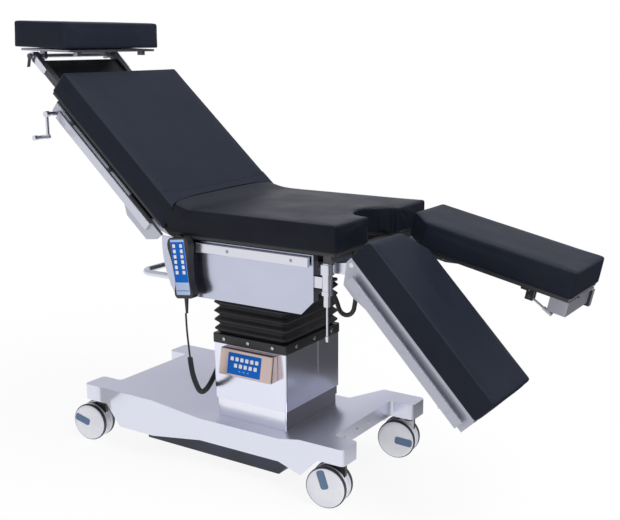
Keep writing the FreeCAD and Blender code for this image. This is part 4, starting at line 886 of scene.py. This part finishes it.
def fold_section(y):
    """The fold's outline at one place across the table, as closed points of x and z in mm."""
    x_crease, z_crease = along_crease(y)
    u_crease = up_the_back(x_crease, z_crease)
    d = max(0.0, abs(y) - (FOLD_Y - SHOULDER))
    drop = SHOULDER - math.sqrt(max(0.0, SHOULDER ** 2 - d ** 2))
    x_start = -100 - 14 * (abs(y) / 268) ** 4
    points = []
    for i in range(21):
        s = i / 20
        x = x_start + (x_crease - x_start) * s
        base = seat_height(max(x, -146), math.copysign(min(abs(y), 258), y)) - 1.2 * (1 - s)
        points.append((x, base + (z_crease - base) * s ** 1.9 - drop))
    points.append(from_back(u_crease + 2, 78 - drop))
    for share in (0.0, 0.25, 0.5, 0.75, 1.0):
        n = 86.2 - drop * (0.9 + 0.5 * share) - 0.8 * share
        points.append(from_back(u_crease + 5 + (100 - u_crease) * share, n))
    points += [from_back(u, n) for u, n in UNDER_BACK]
    return points + IN_SEAT + [(x_start - 6, 829)]


ROWS, AROUND = 72, len(fold_section(0))
nothing_selected()
bpy.ops.mesh.primitive_grid_add(x_subdivisions=AROUND, y_subdivisions=ROWS, size=1)
fold = bpy.context.object
fold.name = "seat_fold"
for vertex in fold.data.vertices:
    around = round((vertex.co.x + 0.5) * AROUND)
    y = FOLD_Y * math.sin(math.pi * max(-0.5, min(0.5, vertex.co.y)))
    x, z = fold_section(y)[around % AROUND]
    vertex.co = at(x, y, z)
edit(fold, "VERT", lambda v: True)
bpy.ops.mesh.remove_doubles(threshold=1e-5)
bpy.ops.mesh.select_all(action="DESELECT")
bpy.ops.mesh.select_non_manifold()
bpy.ops.mesh.fill_holes(sides=0)
bpy.ops.mesh.select_all(action="SELECT")
bpy.ops.mesh.normals_make_consistent(inside=False)
done()
at(-158, 0, 836)
at(-204, 0, 840)
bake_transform(fold)
pad(fold, "seat_cover")
fold.data.materials.append(finishes["pad_cover"])
for face in fold.data.polygons:
    from_hinge = face.center - at(*BACK_HINGE)
    up_back = -from_hinge.x * BACK_COS + from_hinge.z * BACK_SIN
    edge = up_the_back(*along_crease((face.center.y - middle_y) / MM))
    face.material_index = 1 if up_back > (edge + 1) * MM else 0
smooth(fold, 50)
print("the fold's back half has", sum(f.material_index for f in fold.data.polygons), "faces")

# %% [markdown]
# The head pad is smaller, with crisp corners, and stands a little over its plate on both sides.

# %% Head pad
head_low, head_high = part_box("head_pad")
centre = (head_low + head_high) / 2
nothing_selected()
bpy.ops.mesh.primitive_cube_add(size=1, location=centre + Vector((-5 * MM, 0, 9.5 * MM)))
head = bpy.context.object
head.name = "head_cushion"
HEAD_L, HEAD_W, HEAD_T, HEAD_SLOPE = 234.0, 446.0, 83.0, 2.0
head.scale = (Vector((HEAD_L, HEAD_W, HEAD_T)) - Vector((1, 1, 1)) * SHY) * MM
settle(head)
soften(head, lambda m, d: abs(d.z) > 0.9, 7, 4)
soften(head, on_top(max(v.co.z for v in head.data.vertices)), 4, 3)
inflate(head, min(v.co.z for v in head.data.vertices) + 0.004, 1.5)
tilt = Matrix.Rotation(math.radians(HEAD_SLOPE), 4, "Y")
placed(head, Matrix.Translation(centre) @ tilt @ Matrix.Translation(-centre))
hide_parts("head_pad")
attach(head, "head")
pad(head)

# %% [markdown]
# The two leg pads mirror each other. Each has its inner corner cut off at the hinge. One is modelled
# level, copied and mirrored, and then each is turned down to its own angle.

# %% Leg pads
LEG_HINGE = (420.0, 0.0, 729.0)
near_leg = block("leg_cushion_near", (408 + SHY, -268 + SHY, 754), (943 - SHY, -20 - SHY, 832 - SHY))
corner = Vector((-1, 1, 0)).normalized()
cut_off(near_leg, at(448, -60, 790) - corner * SHY * MM, corner)
end_x = at(942 - SHY, 0, 0).x
soften(near_leg, lambda m, d: abs(d.z) > 0.9 and m.x > end_x, 9, 4)
hinge_x, top = at(409 + SHY, 0, 0).x, at(0, 0, 832 - SHY).z
soften(near_leg, lambda m, d: abs(m.z - top) < 1e-5 and m.x < hinge_x and abs(d.y) > 0.9, 18, 6)
soften(near_leg, lambda m, d: on_top(top)(m, d) and m.x > hinge_x + 0.02, 5, 3)
inflate(near_leg, at(0, 0, 758).z, 1.2)
far_leg = copy_of(near_leg, "leg_cushion_far")
only(far_leg)
axis = at(0, 0, 0)
mirror = Matrix.Scale(-1, 4, (0, 1, 0))
placed(far_leg, Matrix.Translation(axis) @ mirror @ Matrix.Translation(-axis))
edit(far_leg, "FACE", lambda f: True)
bpy.ops.mesh.normals_make_consistent(inside=False)
done()
for piece, side, droop in ((near_leg, "near", 46.3), (far_leg, "far", 12.1)):
    placed(piece, turned(LEG_HINGE, droop))
    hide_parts("leg_pad_" + side)
    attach(piece, "leg_" + side)
    pad(piece)

# %% [markdown]
# Folded sheet steel never has knife edges: each bend shows as a thin bright line. A copy of the CAD
# part is merged, its flat triangles are joined into whole faces, and its sharp edges get a small bevel.

# %% Softened sheet steel
def keep_folds(piece, least_angle, least_area):
    """Marks the shallow folds between large flat faces as sharp, so that each face stays flat."""
    mesh = piece.data
    beside = {}
    for face in mesh.polygons:
        for key in face.edge_keys:
            beside.setdefault(key, []).append(face)
    for edge in mesh.edges:
        faces = beside.get(edge.key, [])
        if len(faces) == 2 and min(f.area for f in faces) > least_area:
            if faces[0].normal.angle(faces[1].normal, 0.0) > math.radians(least_angle):
                edge.use_edge_sharp = True


def softened(node, width, finish, segments=2):
    """A copy of a CAD part with rounded edges, which then stands for it."""
    source = nodes[node]
    piece = bpy.data.objects.new(node + "_formed", source.data.copy())
    bpy.context.scene.collection.objects.link(piece)
    edit(piece, "VERT", lambda v: True)
    bpy.ops.mesh.remove_doubles(threshold=1e-5)
    bpy.ops.mesh.select_all(action="SELECT")
    bpy.ops.mesh.dissolve_limited(angle_limit=math.radians(1.5))
    done()
    modify(piece, "BEVEL", width=width * MM, segments=segments, limit_method="ANGLE",
           angle_limit=math.radians(35), use_clamp_overlap=True)
    keep_folds(piece, 2.5, 0.0006)
    smooth(piece, 40)
    modify(piece, "WEIGHTED_NORMAL", keep_sharp=True)
    dress(piece, finish)
    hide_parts(node)
    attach(piece, source["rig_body"])
    return piece


covers = [("base_shell", 2.5, "satin_steel", 3), ("column_sleeve", 3.0, "upright_steel", 3),
          ("mid_sleeve", 2.0, "lower_steel", 2), ("column_skirt", 2.0, "lower_steel", 2),
          ("side_plate_near", 0.8, "apron_steel", 2), ("side_plate_far", 0.8, "apron_steel", 2),
          ("panel_box", 3.0, "panel_plastic", 3), ("bellows_collar", 1.5, "black_paint", 2),
          ("base_pan", 3.0, "navy_paint", 2), ("seat_rails", 1.0, "bright_steel", 2),
          ("back_rails", 1.0, "back_rail_steel", 2), ("back_frame", 0.8, "back_steel", 2),
          ("leg_frame_near", 1.0, "leg_near_steel", 2), ("leg_frame_far", 1.0, "leg_far_steel", 2),
          ("head_plate", 0.8, "grey_steel", 2), ("pendant_body", 3.0, "black_plastic", 3)]
for node, width, finish, segments in covers:
    piece = softened(node, width, finish, segments)
    print("%s: %d faces" % (piece.name, len(piece.data.polygons)))

# %% [markdown]
# Four of these sheets carry two finishes. The upper band of the back's frame is black. The far leg's
# inner side is black as painted shade, for the shadow under its pad. The column's lower covers are
# darker on the face that looks at the foot end: painted shade, made with a darker copy of their steel.

# %% Second finishes and painted shade
def second_finish(piece, finish, rule):
    """Gives the faces that a rule picks a second finish."""
    piece.data.materials.append(finishes[finish])
    for face in piece.data.polygons:
        if rule(face):
            face.material_index = 1
    print(piece.name, "has", sum(f.material_index for f in piece.data.polygons), finish, "faces")


back_frame = bpy.data.objects["back_frame_formed"]
off_board = Vector((BACK_SIN, 0, BACK_COS))
band = at(*BACK_HINGE) - off_board * 26 * MM
edit(back_frame, "VERT", lambda v: True)
bpy.ops.mesh.bisect(plane_co=band, plane_no=off_board)
done()
second_finish(back_frame, "black_paint", lambda f: (f.center - band).dot(off_board) > 0)
# Painted shade: black paint on the far leg's inner side stands for the shadow under its pad.
second_finish(bpy.data.objects["leg_frame_far_formed"], "black_paint",
              lambda f: f.normal.y < -0.9 and f.center.x < at(840, 0, 0).x)
# Painted shade: the faces that look at the foot end get a darker copy of their steel.
for name in ("mid_sleeve_formed", "column_skirt_formed"):
    second_finish(bpy.data.objects[name], "shaded_steel", lambda f: f.normal.x > 0.9)

# %% [markdown]
# Each caster has two wheels. A wheel is a full white disc in a thin dark rim, and a grey slot in the
# disc marks how far it has turned. It is modelled once, standing at the origin, with its outer face
# towards -Y.

# %% One wheel
WHEEL_R, WHEEL_W, TWIN_GAP, RIM, TYRE_W = 62.5, 21.0, 18.0, 3.4, 12.0


def flat_round(name, radius, depth, y, vertices=96):
    """A disc that stands upright with its axis along Y, in mm."""
    nothing_selected()
    bpy.ops.mesh.primitive_cylinder_add(vertices=vertices, radius=radius * MM, depth=depth * MM,
                                        location=(0, y * MM, 0), rotation=(math.radians(90), 0, 0))
    piece = bpy.context.object
    piece.name = name
    settle(piece)
    return piece


def outer_face(piece):
    y = min(v.co.y for v in piece.data.vertices)
    return lambda f: f.normal.y < -0.99 and abs(f.center.y - y) < 1e-6


def make_wheel():
    tyre = flat_round("tyre", WHEEL_R, TYRE_W, (TYRE_W - WHEEL_W) / 2)
    edit(tyre, "FACE", lambda f: abs(f.normal.y) > 0.99)
    bpy.ops.mesh.inset(thickness=RIM * MM)
    bpy.ops.mesh.delete(type="FACE")
    done()
    edit(tyre, "EDGE", lambda e: True)
    bpy.ops.mesh.select_all(action="DESELECT")
    bpy.ops.mesh.select_non_manifold()
    bpy.ops.mesh.bridge_edge_loops()
    done()
    soften(tyre, lambda m, d: m.xz.length > (WHEEL_R - 1) * MM and abs(d.y) < 0.1, 3, 4)
    cheek = flat_round("cheek", WHEEL_R - 1.5, WHEEL_W - TYRE_W, TYRE_W / 2)
    soften(cheek, lambda m, d: abs(d.y) < 0.1, 1.5, 3)
    smooth(cheek, 35)
    dress(cheek, "wheel_white")
    disc = flat_round("disc", WHEEL_R - RIM - 0.1, WHEEL_W, -1.0)
    edit(disc, "FACE", outer_face(disc))
    for inset, rise in ((1.5, 1.2), (10, 0.8), (18, 0.3)):
        bpy.ops.mesh.inset(thickness=inset * MM)
        bpy.ops.transform.translate(value=(0, -rise * MM, 0))
    done()
    for piece in (tyre, disc):
        smooth(piece, 35)
    dress(tyre, "rim_grey")
    dress(disc, "wheel_white")
    mark_y = min(v.co.y for v in disc.data.vertices) - 0.15 * MM
    nothing_selected()
    bpy.ops.mesh.primitive_cube_add(size=1, location=(0, mark_y, 0.0265))
    mark = bpy.context.object
    mark.scale = (25 * MM, 0.9 * MM, 58 * MM)
    settle(mark)
    soften(mark, lambda m, d: abs(d.y) > 0.9, 7.5, 5)
    dress(mark, "slot_grey")
    smooth(mark, 35)
    axle_boss = flat_round("axle_boss", 8.0, TWIN_GAP + 6, WHEEL_W / 2 + TWIN_GAP / 2, 32)
    dress(axle_boss, "rim_grey")
    smooth(axle_boss, 35)
    return [tyre, cheek, disc, mark], axle_boss


wheel_parts, axle_boss = make_wheel()
one_wheel = joined(wheel_parts, "one_wheel")
print("one wheel: %d faces" % len(one_wheel.data.polygons))

# %% [markdown]
# The wheel is copied eight times. The two wheels of a caster face away from each other, and every
# caster has swivelled and rolled by its own amount, as casters do.

# %% Eight wheels
def caster_wheels(node, centre_x, centre_y, rolled):
    low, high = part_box(node)
    axle = (low + high) / 2
    away = axle - at(centre_x, centre_y, WHEEL_R)
    swivel = math.atan2(away.y, away.x) - math.pi
    reach = (TWIN_GAP + WHEEL_W) / 2 * MM
    pieces = []
    for side in (0, 1):
        twin = copy_of(one_wheel, "twin")
        spin = Matrix.Rotation(math.radians(rolled * (1 - 2 * side)), 4, "Y")
        placed(twin, Matrix.Rotation(math.pi * side, 4, "Z") @ Matrix.Translation((0, -reach, 0)) @ spin)
        pieces.append(twin)
    boss = copy_of(axle_boss, "boss")
    middle = sum((v.co for v in boss.data.vertices), Vector()) / len(boss.data.vertices)
    placed(boss, Matrix.Translation(-middle))
    piece = joined(pieces + [boss], "wheels_" + node.replace("caster_wheels_", ""))
    placed(piece, Matrix.Translation(axle) @ Matrix.Rotation(swivel, 4, "Z"))
    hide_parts(node)
    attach(piece, nodes[node]["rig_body"])
    return piece, math.degrees(swivel)


HEAD_X, FOOT_X, CASTER_Y = -578, 367, 212
for place, x, y, rolled in (("head_near", HEAD_X, -CASTER_Y, -72), ("foot_near", FOOT_X, -CASTER_Y, -18),
                            ("head_far", HEAD_X, CASTER_Y, 40), ("foot_far", FOOT_X, CASTER_Y, 96)):
    piece, swivel = caster_wheels("caster_wheels_" + place, x, y, rolled)
    print(piece.name, "swivelled %.1f degrees, %d faces" % (swivel, len(piece.data.polygons)))
bpy.data.objects.remove(one_wheel)
bpy.data.objects.remove(axle_boss)

# %% [markdown]
# Both keypads are printed sheets with raised white keys. A thin blue sheet is stuck on, and each key is
# a rounded tablet with a faint grey rim, set out upright and then laid onto the sloping face.

# %% Keypad helpers
def tablet(name, x0, x1, y0, y1, z0, z1, corner, finish, edge=0.25):
    """A flat tablet with rounded corners, standing upright."""
    piece = block(name, (x0, y0, z0), (x1, y1, z1))
    soften(piece, lambda m, d: abs(d.y) > 0.9, corner, 4)
    front = min(v.co.y for v in piece.data.vertices)
    soften(piece, lambda m, d: abs(m.y - front) < 1e-6 and abs(d.y) < 0.1, edge, 2)
    smooth(piece, 35)
    return dress(piece, finish)


def leaned_about(pieces, point, axis, degrees):
    pivot = Matrix.Translation(at(*point))
    matrix = pivot @ Matrix.Rotation(math.radians(degrees), 4, axis) @ pivot.inverted()
    for piece in pieces:
        placed(piece, matrix)


def keys(places, size, y0, y1, corner):
    """White keys, each with a darker frame under it."""
    made, half = [], size / 2
    for x, z in places:
        made.append(tablet("frame", x - half - 0.7, x + half + 0.7, y0 - 0.15, y1, z - half - 0.7,
                           z + half + 0.7, corner + 0.5, "key_line", 0.1))
        made.append(tablet("key", x - half, x + half, y0 - 0.45, y1, z - half, z + half, corner,
                           "key_white"))
    return made


print("keypad helpers ready")

# %% [markdown]
# The column's panel has a row of six keys over a row of five, with three pale dashes under them.

# %% Column keypad
PANEL_X, PANEL_LOW, PANEL_TOP, PANEL_DEEP, PANEL_SHALLOW, SLEEVE_Y = 8.0, 314.0, 396.0, 38.0, 22.0, 153.0
front = -SLEEVE_Y - PANEL_DEEP
panel_lean = math.degrees(math.atan2(PANEL_DEEP - PANEL_SHALLOW, PANEL_TOP - PANEL_LOW))
sheet = tablet("panel_sheet", PANEL_X - 66, PANEL_X + 58, front - 1.0, front - 0.2,
               PANEL_LOW + 8, PANEL_LOW + 74, 3.0, "blue_keypad", 0.3)
KEY_PITCH = 18.6
upper = [(PANEL_X - 50 + i * KEY_PITCH, PANEL_LOW + 56) for i in range(6)]
lower = [(PANEL_X - 35 + i * KEY_PITCH, PANEL_LOW + 36) for i in range(5)]
dashes = [tablet("dash", PANEL_X + x, PANEL_X + x + 7, front - 1.15, front - 0.9,
                 PANEL_LOW + 19, PANEL_LOW + 21, 0.8, "key_pale", 0.05) for x in (-22, -6, 10)]
panel_keys = [sheet] + keys(upper + lower, 12, front - 1.3, front - 0.9, 2.2) + dashes
leaned_about(panel_keys, (0, front, PANEL_LOW), "X", -panel_lean)
panel_pad = joined(panel_keys, "column_keys")
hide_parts("panel_keypad")
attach(panel_pad, "column")
print("column keypad: %d faces" % len(panel_pad.data.polygons))

# %% [markdown]
# The hand control's moulding is drawn a little wider than the CAD block and towards the foot end, as
# a hand would find it. Its sheet is blue at the top with two columns of keys, and pale below.

# %% Hand control keypad
PENDANT_X, PENDANT_TOP, PENDANT_FRONT, PENDANT_LEAN = -158.0, 752.0, -294.0, -7.0
body = bpy.data.objects["pendant_body_formed"]
upright = at(PENDANT_X, 0, PENDANT_TOP)
lean = Matrix.Rotation(math.radians(PENDANT_LEAN), 4, "Y")
lean = Matrix.Translation(upright) @ lean @ Matrix.Translation(-upright)
WIDENED, SHIFTED = 1.2, 6.0
for vertex in body.data.vertices:
    straight = lean.inverted() @ vertex.co
    straight.x = upright.x + (straight.x - upright.x) * WIDENED + SHIFTED * MM
    vertex.co = lean @ straight
MIDDLE = PENDANT_X + 5.5
y = PENDANT_FRONT
pale = tablet("pale_sheet", MIDDLE - 26.5, MIDDLE + 26.5, y - 0.6, y - 0.1,
              PENDANT_TOP - 172, PENDANT_TOP - 5, 3.0, "key_pale", 0.2)
blue = tablet("blue_sheet", MIDDLE - 26, MIDDLE + 26, y - 0.9, y - 0.3,
              PENDANT_TOP - 134, PENDANT_TOP - 12, 1.0, "blue_keypad", 0.2)
line = tablet("dark_line", MIDDLE - 25, MIDDLE + 25, y - 0.8, y - 0.3,
              PENDANT_TOP - 160, PENDANT_TOP - 158.4, 0.4, "black_plastic", 0.1)
places = [(x, PENDANT_TOP - 24 - row * 16) for row in range(6) for x in (MIDDLE - 13.5, MIDDLE + 13.5)]
hand_keys = [pale, blue, line] + keys(places, 10.5, y - 1.1, y - 0.6, 1.8)
leaned_about(hand_keys, (PENDANT_X, 0, PENDANT_TOP), "Y", PENDANT_LEAN)
hand_pad = joined(hand_keys, "hand_keys")
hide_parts("pendant_keypad")
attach(hand_pad, "tabletop")
print("hand keypad: %d faces, box %s" % (len(hand_pad.data.polygons),
                                         tuple(round(c, 3) for c in hand_pad.bound_box[0])))

# %% [markdown]
# A bellows hides the tilting head of the column. Each half starts as a rounded box section that is
# extruded upwards and drawn in and out, pleat by pleat. It is made in two halves: on the table the
# lower half bends with its pitch and the upper half with its roll.

# %% Bellows
BELLOWS_LOW, BELLOWS_TOP, PLEATS, PLEAT_DEPTH, HALF_X, HALF_Y = 430.0, 572.0, 5, 12.0, 138.0, 153.0


def pleated(name, first, last):
    """Part of the bellows, from one half-pleat to another, as an open sleeve with thickness."""
    step = (BELLOWS_TOP - BELLOWS_LOW) / PLEATS / 2
    start = BELLOWS_LOW + first * step
    piece = block(name, (-HALF_X, -HALF_Y, start), (HALF_X, HALF_Y, start + 1))
    soften(piece, lambda m, d: abs(d.z) > 0.9, 16, 5)
    top = max(v.co.z for v in piece.data.vertices)
    edit(piece, "FACE", lambda f: abs(f.normal.z) > 0.9)
    bpy.ops.mesh.delete(type="FACE")
    done()
    edit(piece, "VERT", lambda v: v.co.z > top - 1e-6)
    bpy.ops.mesh.delete(type="VERT")
    done()
    narrow = (1 - PLEAT_DEPTH / HALF_X, 1 - PLEAT_DEPTH / HALF_Y)
    middle = at(0, 0, 0)
    for vertex in piece.data.vertices:
        vertex.co.z = at(0, 0, start).z
    if first % 2 == 0:
        for vertex in piece.data.vertices:
            vertex.co.x = middle.x + (vertex.co.x - middle.x) * narrow[0]
            vertex.co.y = middle.y + (vertex.co.y - middle.y) * narrow[1]
    edit(piece, "VERT", lambda v: True)
    for i in range(first, last):
        to_narrow = (i + 1) % 2 == 0
        for share in (0.12, 0.38, 0.38, 0.12):
            bpy.ops.mesh.select_mode(type="EDGE")
            bpy.ops.mesh.extrude_region_move(TRANSFORM_OT_translate={"value": (0, 0, step * share * MM)})
            part = {0.12: 0.03, 0.38: 0.47}[share]
            scale = [1 - part * (1 - n) if to_narrow else 1 + part * (1 / n - 1) for n in narrow]
            bpy.ops.transform.resize(value=(scale[0], scale[1], 1),
                                     center_override=(middle.x, middle.y, 0))
    bpy.ops.mesh.select_all(action="SELECT")
    bpy.ops.mesh.normals_make_consistent(inside=False)
    done()
    modify(piece, "SOLIDIFY", thickness=2.4 * MM, offset=-1)
    smooth(piece, 50)
    return dress(piece, "bellows_rubber")


lower_half, upper_half = pleated("bellows_lower", 0, 5), pleated("bellows_upper", 5, 10)
MID = (BELLOWS_LOW + BELLOWS_TOP) / 2
at(0, 0, BELLOWS_LOW)
at(0, 0, MID)
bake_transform(lower_half)
at(0, 0, MID)
at(0, 0, BELLOWS_TOP)
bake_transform(upper_half)
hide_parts("bellows")
print("bellows: %d and %d faces" % (len(lower_half.data.polygons), len(upper_half.data.polygons)))

# %% [markdown]
# Bright screws hold the collar on its four faces, and two duller ones hold the seat's near rail. Each
# is a round head with a cross slot, made by one function and set down where it belongs.

# %% Screws
def screw_head(place, normal, radius=5.5):
    """A domed screw head with a cross slot, at a point in mm, facing along a normal."""
    nothing_selected()
    bpy.ops.mesh.primitive_cylinder_add(vertices=24, radius=radius * MM, depth=3.4 * MM,
                                        location=(0, 0, 1.7 * MM))
    piece = bpy.context.object
    settle(piece)
    soften(piece, lambda m, d: m.z > 3.3 * MM and abs(d.z) < 0.1, 1.2, 3)
    for turn_by in (0, 90):
        bpy.ops.mesh.primitive_cube_add(size=1, location=(0, 0, 3.4 * MM))
        cutter = bpy.context.object
        cutter.scale = (radius * 1.2 * MM, 1.0 * MM, 1.0 * MM)
        cutter.rotation_euler = (0, 0, math.radians(turn_by))
        settle(cutter)
        modify(piece, "BOOLEAN", object=cutter, solver="EXACT")
        bpy.data.objects.remove(cutter)
    facing = Vector(normal).to_track_quat("Z", "Y").to_matrix().to_4x4()
    placed(piece, Matrix.Translation(at(*place)) @ facing)
    smooth(piece, 35)
    return dress(piece, "screw_metal")


COLLAR_X, COLLAR_Y, COLLAR_Z = 140.0, 155.0, 416.5
heads = [screw_head((x, side * COLLAR_Y, COLLAR_Z), (0, side, 0))
         for side in (-1, 1) for x in (-92, 0, 92)]
heads += [screw_head((side * COLLAR_X, y, COLLAR_Z), (side, 0, 0))
          for side in (-1, 1) for y in (-100, 0, 100)]
collar_screws = joined(heads, "collar_screws")
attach(collar_screws, "column")
rail_heads = [screw_head((x, -262.0, 723.7), (0, -1, 0), 5.0) for x in (10.7, 234.1)]
for piece in rail_heads:
    placed(dress(piece, "rail_screw"), Matrix.Translation((0, 2.6 * MM, 0)))
rail_screws = joined(rail_heads, "rail_screws")
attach(rail_screws, "tabletop")
print("screws: %d and %d faces" % (len(collar_screws.data.polygons), len(rail_screws.data.polygons)))

# %% [markdown]
# A white mudguard fills the slot between the twin wheels, and a black hood and neck carry the caster.
# Both are one part in the drawing, so its faces are parted by how near the axle and how low they lie.

# %% Caster forks
GUARD_R, GUARD_TOP = 62.0, 100.0
for place in ("head_near", "head_far", "foot_near", "foot_far"):
    low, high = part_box("caster_wheels_" + place)
    axle = (low + high) / 2
    fork = softened("caster_fork_" + place, 0.8, "black_plastic")
    second_finish(fork, "wheel_white",
                  lambda f: (f.center - axle).length < GUARD_R * MM and f.center.z < GUARD_TOP * MM)
